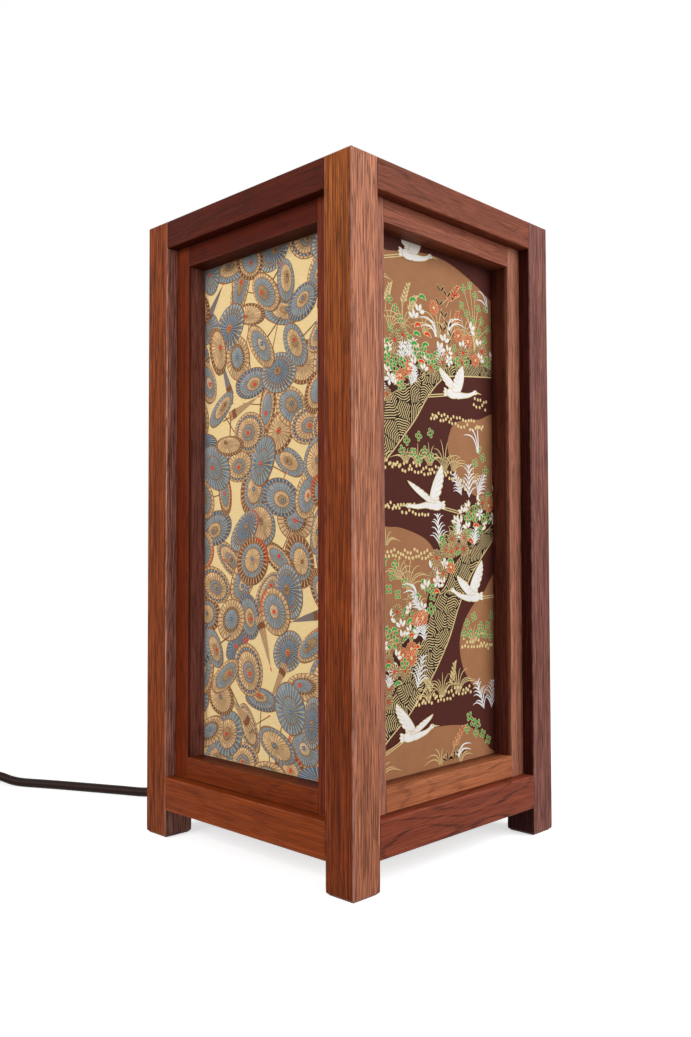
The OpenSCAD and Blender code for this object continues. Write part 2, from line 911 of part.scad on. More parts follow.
module cord_bush() {
    color(plastic)
        translate([-width / 2, cord_exit_y, cord_exit_z])
            rotate([0, 90, 0])
                rotate_extrude()
                    polygon([
                        [cord_radius + fit_clearance, -bush_reach],
                        [cord_radius + 0.9, -bush_reach],
                        [cord_radius + 2.2, -bush_collar_thickness],
                        [bush_collar / 2 - 0.4, -bush_collar_thickness],
                        [bush_collar / 2, -bush_collar_thickness + 0.4],
                        [bush_collar / 2, 0],
                        [bush_diameter / 2, 0],
                        [bush_diameter / 2, post_size],
                        [bush_diameter / 2 + 1.2, post_size],
                        [bush_diameter / 2 + 0.8, post_size + 2],
                        [cord_radius + fit_clearance, post_size + 2],
                    ]);
}

module cord_clamp() {
    drop = board_bottom - cord_exit_z + cord_radius + 2;
    color("#d8d2c4") difference() {
        translate([clamp_x - clamp_length / 2, cord_exit_y - clamp_width / 2, board_bottom - clamp_ear])
            cube([clamp_length, clamp_width, clamp_ear]);
        cord_hole(cord_radius + fit_clearance, clamp_x - clamp_length / 2, clamp_length);
        at_screws() screw_hole();
    }
    color("#d8d2c4") difference() {
        translate([clamp_x, cord_exit_y, board_bottom - clamp_ear / 2 - drop / 2])
            cube([clamp_length, 2 * cord_radius + 4, drop - clamp_ear], center = true);
        cord_hole(cord_radius + fit_clearance, clamp_x - clamp_length / 2, clamp_length);
    }
}

// Moves a cord route from the middle of the cord's hole to its place
function placed(points) =
    [for (p = points) p + [-width / 2, cord_exit_y, 0]];

switch_in = switch_centre + [0, 0, switch_split] - (switch_half - switch_inlet) * heading;
switch_out = switch_centre + [0, 0, switch_split] + (switch_half - switch_inlet) * heading;

// The cord's axis comes down from the switch to the ground over the first part of the arc
function turn_point(b) =
    let (a = cord_heading - 90 + b, share = min(b / turn_drop, 1))
    turn_centre + [
        turn_radius * cos(a),
        turn_radius * sin(a),
        switch_split - (switch_split - cord_radius) * share * share * (3 - 2 * share),
    ];
middle_points = concat(
    [for (b = [0:12:turn_sweep]) turn_point(b)],
    [for (run = [8, 16]) turn_point(turn_sweep) + run * coil_way],
    [turn_point(turn_sweep) + 23 * coil_way + [0, 0, (coil_lower - cord_radius) / 2]]
);
tail_start = coil_end(coil_turns, 2);
plug_in = [tail_start[0], tail_start[1], plug_axis] + tail_length * tail_way;
tail_points = [
    for (p = tail_steps) [tail_start[0], tail_start[1], p[1]] + p[0] * tail_way
];

module cord_inside() {
    start = [sheath_end, cord_exit_y, cord_exit_z];
    end = [-width / 2 - bush_reach, cord_exit_y, cord_exit_z];
    color(plastic)
        tube([for (i = [0:6]) start + (end - start) * i / 6], cord_radius, 8);
}

// Both wires, from the end of the cord's sheath into the terminals
module lead_wires() {
    climb = terminal_bottom + wire_entry - cord_exit_z;
    wire_routes = [
        [wire_offset, near_wire_points, terminal_left],
        [-wire_offset, far_wire_points, terminal_right],
    ];
    color("ivory")
        for (w = wire_routes)
            tube(
                concat(
                    [for (x = [0, 2.5]) [sheath_end + x, cord_exit_y + w[0], cord_exit_z]],
                    [for (p = w[1]) [p[0], p[1], cord_exit_z + climb * p[2]]],
                    [[w[2], 0, cord_exit_z + climb]]
                ),
                wire_diameter / 2,
                8,
                [1, -1, 1]
            );
}

module cord_lead() {
    color(plastic)
        tube(
            placed(concat(
                [[-bush_reach, 0, cord_exit_z]],
                lead_points,
                [switch_in - switch_inlet * heading, switch_in]
            )),
            cord_radius,
            8
        );
}

module cord_middle() {
    color(plastic)
        tube(
            placed(concat(
                [switch_out, switch_out + switch_inlet * heading],
                middle_points,
                [coil_end(0, -2), coil_route[0]]
            )),
            cord_radius,
            8
        );
}

module cord_coil() {
    color(plastic) tube(placed(coil_route), cord_radius, coil_sides);
}

module cord_tail() {
    color(plastic)
        tube(
            placed(concat(
                [coil_route[len(coil_route) - 1], tail_start],
                tail_points,
                [plug_in - cord_diameter * tail_way, plug_in]
            )),
            cord_radius,
            8
        );
}

// A flat strap round the bundle of turns, where the two layers lie in line. The room
// in it covers the bend of the turns over the strap's width
module coil_tie() {
    steps = floor(coil_turns / 2 - tie_turn);
    middle = coil_outer - coil_pitch * (tie_turn + steps / 2);
    bend = tie_width * tie_width / (8 * (middle - steps * coil_pitch / 2));
    room_x = steps * coil_pitch + cord_diameter + 2 * bend + 10 * fit_clearance;
    room_z = coil_pitch + cord_diameter + 2 * fit_clearance;
    color("black")
        translate(placed([coil_centre])[0])
            rotate(coil_start + 360 * tie_turn)
                translate([middle, tie_width / 2, tie_thickness + room_z / 2])
                    rotate([90, 0, 0])
                        linear_extrude(tie_width) difference() {
                            polygon(rounded_outline(
                                room_x + 2 * tie_thickness, room_z + 2 * tie_thickness, 2
                            ));
                            polygon(rounded_outline(room_x, room_z, 1.4));
                        }
}

// Places its children at the switch, with x along the cord and z = 0 on the table
module at_switch() {
    translate(placed([switch_centre])[0])
        rotate(cord_heading)
            children();
}

module switch_outline(inset) {
    polygon(rounded_outline(
        switch_length - 2 * inset, switch_width - 2 * inset, 7 - inset
    ));
}

module switch_cord_hole() {
    translate([-switch_half - 1, 0, switch_split])
        rotate([0, 90, 0])
            cylinder(r = cord_radius + fit_clearance, h = switch_length + 2);
}

module switch_lower() {
    at_switch() color(plastic) difference() {
        union() {
            difference() {
                linear_extrude(switch_split) switch_outline(0);
                translate([0, 0, switch_wall]) linear_extrude(switch_split) switch_outline(switch_wall);
            }
            switch_bosses(0.5, switch_split - 0.5);
        }
        switch_cord_hole();
        at_switch_screws() {
            translate([0, 0, -1])
                cylinder(r = switch_screw_radius + fit_clearance, h = switch_split + 2, $fn = 24);
            translate([0, 0, -1])
                cylinder(r = 2 * switch_screw_radius + fit_clearance, h = 2, $fn = 24);
        }
    }
}

module at_switch_screws() {
    for (s = [-1, 1])
        translate([s * switch_screw_x, -s * switch_screw_y, 0]) children();
}

module switch_bosses(start, boss_height) {
    at_switch_screws() translate([0, 0, start]) cylinder(r = 2.6, h = boss_height, $fn = 32);
}

module switch_upper() {
    slot_x = rocker_length + 2;
    slot_y = rocker_width + 4 * fit_clearance;
    ear = 1.5;
    at_switch() color(plastic) difference() {
        union() {
            difference() {
                translate([0, 0, switch_split])
                    linear_extrude(switch_height - switch_split) switch_outline(0);
                translate([0, 0, switch_split - 1])
                    linear_extrude(switch_height - switch_split - switch_wall + 1)
                        switch_outline(switch_wall);
            }
            switch_bosses(switch_split, switch_height - switch_split - 0.5);
            for (s = [-1, 1])
                translate([0, s * (slot_y + ear) / 2, (rocker_axis - 2.2 + switch_height - 0.5) / 2])
                    cube([6, ear, switch_height - 0.5 - rocker_axis + 2.2], center = true);
        }
        switch_cord_hole();
        translate([0, 0, switch_height]) cube([slot_x, slot_y, 2 * switch_wall + 1], center = true);
        translate([0, 0, rocker_axis])
            rotate([90, 0, 0])
                cylinder(r = rocker_pin_radius + fit_clearance / 2, h = slot_y + 2 * ear + 2, center = true);
        at_switch_screws()
            translate([0, 0, switch_split - 1])
                cylinder(
                    r = switch_screw_radius + fit_clearance / 2,
                    h = switch_screw_end - switch_split + 1.7,
                    $fn = 24
                );
    }
}

module switch_rocker() {
    half = rocker_length / 2;
    at_switch()
        translate([0, 0, rocker_axis])
            rotate([0, -rocker_tilt, 0])
                color("#d9c9a8") {
                    rotate([90, 0, 0])
                        linear_extrude(rocker_width, center = true)
                            polygon([
                                [-half + 2, -2.2],
                                [half - 2, -2.2],
                                [half, 2.2],
                                [half - 0.5, rocker_top],
                                [0, rocker_top - 0.9],
                                [-half + 0.5, rocker_top],
                                [-half, 2.2],
                            ]);
                    rotate([90, 0, 0])
                        cylinder(r = rocker_pin_radius, h = rocker_width + 2.8, center = true, $fn = 32);
                }
}

// Two brass plates on the switch's floor that the cord's wires end at
module switch_contacts() {
    at_switch() color(brass)
        for (s = [-1, 1])
            translate([s * (switch_half - switch_inlet - 3), 0, switch_wall + 2])
                cube([6, 7, 4], center = true);
}

module switch_screws() {
    at_switch() color(brass)
        at_switch_screws() {
            translate([0, 0, 0.4]) cylinder(r = 2 * switch_screw_radius, h = 0.6, $fn = 24);
            translate([0, 0, 1])
                cylinder(r = switch_screw_radius, h = switch_screw_end - 1, $fn = 24);
        }
}

// Places its children at the plug, with x along the cord and z = 0 on its axis
module at_plug() {
    translate(placed([plug_in])[0]) rotate(tail_heading) children();
}

module blades(gap) {
    for (s = [-1, 1])
        translate([
            plug_sleeve + plug_length - blade_root - gap,
            s * blade_spacing / 2 - blade_thickness / 2 - gap,
            -blade_height / 2 - gap,
        ])
            cube([
                blade_root + blade_length + gap,
                blade_thickness + 2 * gap,
                blade_height + 2 * gap,
            ]);
}

module plug_body() {
    at_plug() color(plastic) difference() {
        union() {
            rotate([0, 90, 0])
                cylinder(r1 = cord_radius + 0.9, r2 = plug_axis - 2, h = plug_sleeve + 1);
            translate([plug_sleeve, 0, 0])
                rotate([90, 0, 90])
                    linear_extrude(plug_length)
                        polygon(rounded_outline(plug_width, 2 * plug_axis, 5));
        }
        blades(fit_clearance / 2);
    }
}

module plug_blades() {
    at_plug() color(brass) difference() {
        blades(0);
        translate([plug_sleeve + plug_length + blade_length - 6, 0, 0])
            rotate([90, 0, 0])
                cylinder(r = 1.5, h = 2 * blade_spacing, center = true, $fn = 24);
    }
}

for (i = [0:3]) {
    rotate(90 * i) post();
    rotate(90 * i) top_rail();
    bottom_rail(i);
    rotate(90 * i) inner_stiles();
    rotate(90 * i) inner_rails();
    rotate(90 * i) paper();
    rotate(90 * i) pane();
}
pane_beads();
bead_pins();
base_board();
board_cleats();
wood_screws();
holder_body();
holder_screw_shell();
holder_contact();
holder_terminals();
bulb_dome();
bulb_housing();
bulb_light_board();
bulb_screw_cap();
bulb_insulator();
bulb_contact_tip();
cord_bush();
cord_clamp();
cord_inside();
lead_wires();
cord_lead();
cord_middle();
cord_coil();
cord_tail();
coil_tie();
switch_lower();
switch_upper();
switch_rocker();
switch_contacts();
switch_screws();
plug_body();
plug_blades();
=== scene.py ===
"""Square wooden lantern table lamp: its stage, cords, finishes and printed papers."""

import math

import bpy
import numpy as np
from bpy.props import FloatProperty, FloatVectorProperty, IntProperty, PointerProperty
from mathutils import Matrix, Vector


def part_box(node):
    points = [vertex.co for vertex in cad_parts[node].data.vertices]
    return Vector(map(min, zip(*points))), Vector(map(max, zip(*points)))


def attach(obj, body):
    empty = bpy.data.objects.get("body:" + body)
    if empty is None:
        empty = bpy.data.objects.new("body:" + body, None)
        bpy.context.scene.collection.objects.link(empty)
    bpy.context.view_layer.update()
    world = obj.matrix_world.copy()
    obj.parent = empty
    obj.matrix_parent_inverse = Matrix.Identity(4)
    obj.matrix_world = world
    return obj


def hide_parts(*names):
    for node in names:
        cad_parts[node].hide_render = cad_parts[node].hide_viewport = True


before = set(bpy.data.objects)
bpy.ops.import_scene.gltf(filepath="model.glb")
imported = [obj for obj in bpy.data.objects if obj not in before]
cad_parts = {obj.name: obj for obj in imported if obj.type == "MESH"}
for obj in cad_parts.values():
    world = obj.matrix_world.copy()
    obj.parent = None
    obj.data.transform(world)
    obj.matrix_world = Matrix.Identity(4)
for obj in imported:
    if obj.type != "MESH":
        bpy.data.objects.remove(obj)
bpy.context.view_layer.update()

SIDES = ("front", "right", "back", "left")

bl_info = {
    "name": "Wooden lantern table lamp",
    "version": (1, 0, 0),
    "blender": (4, 5, 0),
    "location": "3D View > Sidebar > Lantern",
    "description": "Finishes for a square wooden table lamp with printed papers and a cord",
    "category": "Object",
}


def screen(red, green, blue):
    """The linear colour of a screen colour given as 0 to 255, by undoing the sRGB curve."""
    share = np.array([red, green, blue]) / 255.0
    linear = np.where(share <= 0.04045, share / 12.92, ((share + 0.055) / 1.055) ** 2.4)
    return tuple(float(x) for x in linear)


def tint(name, description, *values):
    """A colour that the user may change, given as 0 to 255 on screen."""
    return FloatVectorProperty(
        name=name,
        description=description,
        subtype="COLOR",
        size=3,
        min=0.0,
        max=1.0,
        default=screen(*values),
    )


def distance(name, description, default, low, high):
    """A length in metres that the user may change."""
    return FloatProperty(name=name, description=description, subtype="DISTANCE", unit="LENGTH",
                         default=default, min=low, max=high)


def power(name, description, default):
    """A light's power in watts that the user may change."""
    return FloatProperty(name=name, description=description, subtype="POWER", unit="POWER",
                         default=default, min=0.0)


class LanternWood(bpy.types.PropertyGroup):
    """Colours and figure of the timber"""

    ruddy: tint("Ruddy wood", "Saturated wood of the front and back faces", 136, 60, 22)
    # Rosy wood: paler and pinker than the ruddy wood, partly the wood's own face and partly
    # painted light and sheen, as on the lit right side
    rosy_painted_sheen: tint("Rosy wood", "Paler wood of the right and left faces", 184, 115, 85)
    streak: tint("Streaks", "Dark lines along the grain", 44, 16, 10)
    # Pale edge colour: a painted highlight along the members' edges
    wear_and_highlight: tint("Worn edges", "Pale edges where the oil has rubbed off", 196, 150, 140)
    board: tint("Base board", "Plywood of the base board and the beads", 196, 158, 112)
    wander: distance("Wander", "How far the grain strays from a straight line",
                     0.0016, 0.0, 0.05)


class LanternPaper(bpy.types.PropertyGroup):
    """Colours and layout of the two prints"""

    cream: tint("Cream ground", "Ground of the umbrella paper", 248, 218, 158)
    plum: tint("Plum ground", "Ground of the crane paper", 76, 36, 30)
    hill: tint("Hills", "Hills of the crane paper", 170, 119, 83)
    water: tint("Water", "Water under the gold lines", 40, 22, 22)
    gold: tint("Gold", "Gold lines and outlines", 230, 206, 148)
    blue: tint("Blue", "Blue umbrella segments", 120, 138, 154)
    deep_blue: tint("Deep blue", "Darker blue segments", 80, 110, 140)
    tan: tint("Tan", "Tan umbrella segments", 222, 186, 138)
    brown: tint("Brown", "Brown umbrella rings", 138, 88, 58)
    white: tint("White", "Cranes, bellflowers and blades", 250, 248, 246)
    red: tint("Red", "Red petals and umbrella tips", 230, 70, 44)
    green: tint("Green", "Leaves", 48, 164, 80)
    umbrella: distance("Umbrella radius", "Half the widest width of an open umbrella",
                       0.0143, 0.008, 0.025)
    lift: distance("Ink step", "Height between one printed layer and the next",
                   0.000004, 0.000002, 0.00002)
    seed: IntProperty(
        name="Seed", description="Start of the scatter of both prints", default=11, min=0
    )


class LanternCord(bpy.types.PropertyGroup):
    """Sizes and colour of the mains cord"""

    sheath: tint("Sheath", "Outer sheath of the cord", 40, 20, 13)
    diameter: distance("Diameter", "Diameter of the round cord", 0.006, 0.004, 0.009)
    coil_radius: distance("Coil radius", "Mean radius of the stored coil", 0.035, 0.03, 0.06)
    coil_turns: FloatProperty(
        name="Coil turns", description="Turns of the stored coil", default=6.15, min=1.5, max=9.5
    )
    coil_pitch: distance("Coil pitch", "Distance between the middles of neighbouring turns",
                         0.0066, 0.0061, 0.009)


class LanternStage(bpy.types.PropertyGroup):
    """Camera and light"""

    focal: FloatProperty(
        name="Focal length",
        description="Focal length of the camera in millimetres",
        default=33.16,
        min=10.0,
        max=200.0,
    )
    key: power("Key light", "Power of the large light on the right", 17.0)
    fill: power("Fill light", "Power of the large light on the left", 12.0)
    around: FloatProperty(
        name="Light all round", description="Strength of the world's light", default=0.25, min=0.0
    )


# Shader wiring

# Specular level of oiled wood, paper and ink
DULL = 0.08
# Noise scales of the wood's figure, of the ragged painted highlight on its edges and of even
# finishes, per metre
BEND_SCALE, LINE_SCALE, THREAD_SCALE, BAND_SCALE = 17.0, 2100.0, 2300.0, 240.0
ARCH_SCALE, PORE_SCALE, RAGGED_EDGE_SCALE = 34.0, 1700.0, 120.0
MOTTLE_SCALE, SPECKLE_SCALE, FIBRE_SCALE = 90.0, 2200.0, 1500.0
# Ripples of the slow field from one end of its range to the other, for the arches
RIPPLES = 74.0

class Wiring:
    """Adds shader nodes to a tree and joins them. What is fed to an input is a socket, or a
    number, vector or colour."""

    def __init__(self, tree):
        self.tree = tree

    def feed(self, socket, value):
        if isinstance(value, bpy.types.NodeSocket):
            self.tree.links.new(value, socket)
        elif socket.type == "RGBA":
            socket.default_value = (*tuple(value)[:3], 1.0)
        else:
            socket.default_value = value

    def node(self, kind, inputs=None, **settings):
        made = self.tree.nodes.new("ShaderNode" + kind)
        for name, value in settings.items():
            setattr(made, name, value)
        for name, value in (inputs or {}).items():
            self.feed(made.inputs[name], value)
        return made

    def count(self, operation, first, second=0.0):
        return self.node("Math", {0: first, 1: second}, operation=operation).outputs[0]

    def join(self, operation, first, second):
        return self.node("VectorMath", {0: first, 1: second}, operation=operation).outputs[0]

    def mix(self, share, first, second, blend="MIX"):
        made = self.node("Mix", data_type="RGBA", blend_type=blend)
        for index, value in ((0, share), (6, first), (7, second)):
            self.feed(made.inputs[index], value)
        return made.outputs[2]

    def fade(self, value, low, high, start=0.0, end=1.0):
        """0 to 1 as the value goes from low to high, eased at both ends, then start to end."""
        made = self.node(
            "MapRange",
            {"Value": value, "From Min": low, "From Max": high, "To Min": start, "To Max": end},
            interpolation_type="SMOOTHSTEP",
        )
        return made.outputs[0]

    def noise(self, vector, scale, detail=2.0, roughness=0.5):
        inputs = {"Vector": vector, "Scale": scale, "Detail": detail, "Roughness": roughness}
        return self.node("TexNoise", inputs).outputs["Fac"]

    def mapped(self, vector, scale=(1, 1, 1), turn=(0, 0, 0)):
        inputs = {"Vector": vector, "Scale": scale, "Rotation": turn}
        return self.node("Mapping", inputs).outputs[0]

    def seen(self):
        """1 for a ray from the camera, in a reflection or through glass, and 0 for the rest."""
        light = self.node("LightPath").outputs
        direct = self.count("MAXIMUM", light["Is Camera Ray"], light["Is Glossy Ray"])
        return self.count("MAXIMUM", direct, light["Is Transmission Ray"])

    def group(self, name, inputs):
        made = self.tree.nodes.new("ShaderNodeGroup")
        made.node_tree = bpy.data.node_groups[name]
        for socket, value in inputs.items():
            self.feed(made.inputs[socket], value)
        return made.outputs


def new_group(name, inputs, outputs):
    """An empty node group with these sockets. Returns its wiring, its inputs and its end."""
    tree = bpy.data.node_groups.new(name, "ShaderNodeTree")
    for socket, kind, value in inputs:
        made = tree.interface.new_socket(socket, in_out="INPUT", socket_type="NodeSocket" + kind)
        if value is not None:
            made.default_value = value
    for socket in outputs:
        tree.interface.new_socket(socket, in_out="OUTPUT", socket_type="NodeSocketFloat")
    start, end = tree.nodes.new("NodeGroupInput"), tree.nodes.new("NodeGroupOutput")
    return Wiring(tree), start.outputs, end.inputs


def timber_figure():
    """Figure of wood whose grain runs along Z, bent by a slow noise. Noise drawn out along the
    grain gives lines, finer threads and broad bands. Level lines of a slower field give the
    arches of a flat-sawn face, and short pores dent the surface."""
    w, given, end = new_group(
        "Timber figure",
        [("Vector", "Vector", None), ("Seed", "Float", 0.0), ("Wander", "Float", 0.004),
         ("Stretch", "Float", 0.025)],
        ["Lines", "Threads", "Bands", "Arches", "Pores", "Height"],
    )
    shift = w.join("SCALE", (0.37, 0.71, 0.13), (0, 0, 0))
    w.feed(shift.node.inputs["Scale"], given["Seed"])
    place = w.join("ADD", given["Vector"], shift)
    bend = w.node("TexNoise", {"Vector": place, "Scale": BEND_SCALE, "Detail": 2.0})
    bend = w.join("SUBTRACT", bend.outputs["Color"], (0.5, 0.5, 0.5))
    bend = w.join("SCALE", bend, (0, 0, 0))
    w.feed(bend.node.inputs["Scale"], given["Wander"])
    place = w.join("ADD", place, bend)
    long = w.node("CombineXYZ", {"X": 1.0, "Y": 1.0, "Z": given["Stretch"]}).outputs[0]
    drawn = w.join("MULTIPLY", place, long)
    lines = w.fade(w.noise(drawn, LINE_SCALE, 2.0, 0.6), 0.43, 0.58)
    threads = w.fade(w.noise(drawn, THREAD_SCALE, 2.0), 0.42, 0.62)
    bands = w.fade(w.noise(drawn, BAND_SCALE, 3.0, 0.6), 0.38, 0.64)
    slow = w.noise(w.join("MULTIPLY", place, (1.0, 1.0, 0.22)), ARCH_SCALE, 2.0, 0.4)
    ripple = w.count("SINE", w.count("MULTIPLY", slow, RIPPLES))
    arches = w.fade(w.count("ADD", ripple, w.count("MULTIPLY", lines, 0.3)), 0.82, 1.25)
    short = w.join("MULTIPLY", place, (1, 1, 0.05))
    pores = w.fade(w.noise(short, PORE_SCALE, 1.0), 0.57, 0.68)
    height = w.count("SUBTRACT", w.count("MULTIPLY", threads, -0.6), pores)
    for name, value in zip(("Lines", "Threads", "Bands", "Arches", "Pores", "Height"),
                           (lines, threads, bands, arches, pores, height)):
        w.feed(end[name], value)


def joinery_masks():
    """Masks for a box-shaped member, or for members that mirror each other about a middle. The
    depth under each pair of faces is the half size less the distance from the member's
    centre. The middle one of the three depths is small only along edges. Out is how far out
    a point lies along the outward axis, and Least the smaller of its two level distances."""
    w, given, end = new_group(
        "Joinery masks",
        [(name, "Vector", None) for name in ("Vector", "Middle", "Centre", "Half", "Outward")],
        ["Edge", "Out", "Least"],
    )
    away = w.join("ABSOLUTE", w.join("SUBTRACT", given["Vector"], given["Middle"]), (0, 0, 0))
    beside = w.join("ABSOLUTE", w.join("SUBTRACT", away, given["Centre"]), (0, 0, 0))
    depth = w.node("SeparateXYZ", {0: w.join("SUBTRACT", given["Half"], beside)}).outputs
    low = w.count("MINIMUM", depth["X"], depth["Y"])
    high = w.count("MAXIMUM", depth["X"], depth["Y"])
    middle = w.count("MAXIMUM", low, w.count("MINIMUM", high, depth["Z"]))
    # The edge band is made ragged by noise; it carries the painted highlight
    ragged = w.fade(w.noise(given["Vector"], RAGGED_EDGE_SCALE, 2.0), 0.35, 0.65, -0.0002, 0.0002)
    w.feed(end["Edge"], w.fade(w.count("ADD", middle, ragged), 0.0002, 0.0009, 1.0, 0.0))
    out = w.join("DOT_PRODUCT", away, given["Outward"])
    w.feed(end["Out"], out.node.outputs["Value"])
    level = w.node("SeparateXYZ", {0: away}).outputs
    w.feed(end["Least"], w.count("MINIMUM", level["X"], level["Y"]))


def fine_grain():
    """Fine even grain: a soft mottle, a fine speckle and fibres drawn out along X."""
    w, given, end = new_group(
        "Fine grain",
        [("Vector", "Vector", None), ("Size", "Float", 1.0)],
        ["Mottle", "Speckle", "Fibres", "Height"],
    )
    place = w.join("SCALE", given["Vector"], (0, 0, 0))
    w.feed(place.node.inputs["Scale"], given["Size"])
    mottle = w.fade(w.noise(place, MOTTLE_SCALE, 3.0, 0.6), 0.3, 0.7)
    speckle = w.fade(w.noise(place, SPECKLE_SCALE, 2.0), 0.35, 0.7)
    fibres = w.fade(w.noise(w.mapped(place, (0.12, 1, 1)), FIBRE_SCALE, 3.0), 0.35, 0.7)
    height = w.count("ADD", speckle, fibres)
    for name, value in zip(("Mottle", "Speckle", "Fibres", "Height"),
                           (mottle, speckle, fibres, height)):
        w.feed(end[name], value)


def new_material(name):
    """A material with a principled shader. Returns it, its wiring, shader and place."""
    made = bpy.data.materials.new(name)
    made.use_nodes = True
    wiring = Wiring(made.node_tree)
    shader = made.node_tree.nodes["Principled BSDF"]
    place = wiring.node("TexCoord").outputs["Object"]
    return made, wiring, shader, place


def set_shader(shader, **values):
    """Sets even values on the shader's own sockets, such as coat_weight=0.2."""
    for name, value in values.items():
        socket = shader.inputs[name.replace("_", " ").title().replace("Ior", "IOR")]
        socket.default_value = (*value, 1.0) if socket.type == "RGBA" else value


def bumped(w, shader, height, distance, strength=1.0):
    bump = w.node("Bump", {"Height": height, "Distance": distance, "Strength": strength})
    w.feed(shader.inputs["Normal"], bump.outputs[0])


TURNS = {"x": (0.0, -math.pi / 2, 0.0), "y": (math.pi / 2, 0.0, 0.0), "z": (0.0, 0.0, 0.0)}


def member(low, high, middle=(0.0, 0.0, 0.0)):
    """Middle, centre and half size of a box-shaped member, mirrored to the positive corner."""
    low, high, middle = (np.array(p, float) for p in (low, high, middle))
    centre = np.abs((low + high) / 2 - middle)
    return tuple(tuple(float(x) for x in p) for p in (middle, centre, (high - low) / 2))


def timber(name, tone, streak, grain, seed, wander, stretch=0.018, arches=0.1, bands=0.3,
           contrast=0.3, pores=0.55, box=None, wear_and_highlight=None, highlight_share=0.05, others=()):
    """Oiled wood. The tone goes over to others, each (axis, from, to, colour, most it may
    cover), as the place along the axis goes from the one to the other. Lines, threads and
    bands lighten and darken it, and arches and pores are drawn in the streak's colour. The
    axis may also be the name of a joinery mask of the box, whose edges are painted paler, a
    painted highlight along the edges."""
    made, w, shader, place = new_material(name)
    inputs = {"Vector": w.mapped(place, turn=TURNS[grain]), "Seed": seed, "Wander": wander,
              "Stretch": stretch}
    figure = w.group("Timber figure", inputs)
    masks = None
    if box:
        masks = w.group("Joinery masks", {"Vector": place, "Middle": box[0], "Centre": box[1],
                                          "Half": box[2], "Outward": box[3]})
    # Some of the others are painted light and shade: the paler, pinker sides and the tones behind
    # the outer faces
    for axis, start, end, other, *most in others:
        if isinstance(axis, str):
            along = masks[axis]
        else:
            along = w.join("DOT_PRODUCT", place, axis).node.outputs["Value"]
        tone = w.mix(w.fade(along, start, end, 0.0, *(most or [1.0])), tone, other)
    light = (1 + contrast, 1 + 1.25 * contrast, 1 + 1.3 * contrast)
    dark = (1 - contrast,) * 3
    shade = w.mix(figure["Lines"], light, dark)
    shade = w.mix(w.count("MULTIPLY", figure["Threads"], 0.3), shade, dark)
    shade = w.mix(w.count("MULTIPLY", figure["Bands"], bands), shade, (0.4, 0.34, 0.34))
    colour = w.mix(1.0, tone, shade, "MULTIPLY")
    colour = w.mix(w.count("MULTIPLY", figure["Arches"], arches), colour, streak)
    colour = w.mix(w.count("MULTIPLY", figure["Pores"], pores), colour, streak)
    # Painted highlight: the edges turn towards the pale edge colour
    if box:
        colour = w.mix(w.count("MULTIPLY", masks["Edge"], highlight_share), colour, wear_and_highlight)
    w.feed(shader.inputs["Base Color"], colour)
    w.feed(shader.inputs["Roughness"], w.fade(figure["Lines"], 0.0, 1.0, 0.42, 0.55))
    set_shader(shader, specular_ior_level=DULL)
    bumped(w, shader, figure["Height"], 0.0001, 0.5)
    return made


def coated(name, colour, other, roughness=(0.4, 0.55), size=1.0, depth=0.00003, share="Mottle",
           amount=0.5, **even):
    """An even finish, such as plastic, paper or rubber, that drifts from one colour to another
    with its mottle or fibres, and whose roughness follows its speckle."""
    made, w, shader, place = new_material(name)
    grain = w.group("Fine grain", {"Vector": place, "Size": size})
    drift = w.count("MULTIPLY", grain[share], amount)
    w.feed(shader.inputs["Base Color"], w.mix(drift, colour, other))
    w.feed(shader.inputs["Roughness"], w.fade(grain["Speckle"], 0.0, 1.0, *roughness))
    set_shader(shader, **even)
    bumped(w, shader, grain["Height"], depth, 0.7)
    return made


def finish(material, *nodes):
    """Gives a material to every slot of the named CAD nodes."""
    for name in nodes:
        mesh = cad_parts[name].data
        mesh.materials.clear()
        mesh.materials.append(material)


def coats(*rows):
    """Makes the even finish of each row and gives it to the row's nodes. A row is the name,
    two screen colours, the roughness, the bump's depth, further values and the nodes."""
    for name, colour, other, roughness, depth, more, nodes in rows:
        made = coated(name, screen(*colour), screen(*other), roughness, depth=depth, **more)
        finish(made, *nodes)


# Curves and tubes


def smooth(points, count, closed=False):
    """A Catmull-Rom curve through the points: on each span, half of 2b + (c - a)t +
    (2a - 5b + 4c - d)t^2 + (3b - a - 3c + d)t^3, where b and c are the span's ends."""
    p = np.asarray(points, float)
    if closed:
        p = np.vstack([p[-1:], p, p[:2]])
    else:
        p = np.vstack([2 * p[0] - p[1], p, 2 * p[-1] - p[-2]])
    spans = len(p) - 3
    where = np.linspace(0, spans, count, endpoint=not closed)
    index = np.minimum(where.astype(int), spans - 1)
    t = (where - index)[:, None]
    a, b, c, d = (p[index + k] for k in range(4))
    return 0.5 * (
        2 * b + (c - a) * t + (2 * a - 5 * b + 4 * c - d) * t**2 + (3 * b - a - 3 * c + d) * t**3
    )


def evenly(line, step):
    """The line again, with its points about a step apart along it."""
    along = np.r_[0, np.cumsum(np.linalg.norm(np.diff(line, axis=0), axis=1))]
    count = max(3, int(round(along[-1] / step)) + 1)
    want = np.linspace(0, along[-1], count)
    return np.stack([np.interp(want, along, line[:, k]) for k in range(line.shape[1])], 1)


def cord_curve(name, line, diameter, material):
    """A round tube round an open line, as one curve."""
    curve = bpy.data.curves.new(name, "CURVE")
    curve.dimensions = "3D"
    curve.bevel_depth = diameter / 2
    curve.bevel_resolution = 4
    curve.use_fill_caps = True
    spline = curve.splines.new("POLY")
    spline.points.add(len(line) - 1)
    spline.points.foreach_set("co", np.column_stack([line, np.ones(len(line))]).ravel())
    curve.materials.append(material)
    piece = bpy.data.objects.new(name, curve)
    bpy.context.scene.collection.objects.link(piece)
    return piece


# Stage. The camera's place and turns solve the corners of the photograph

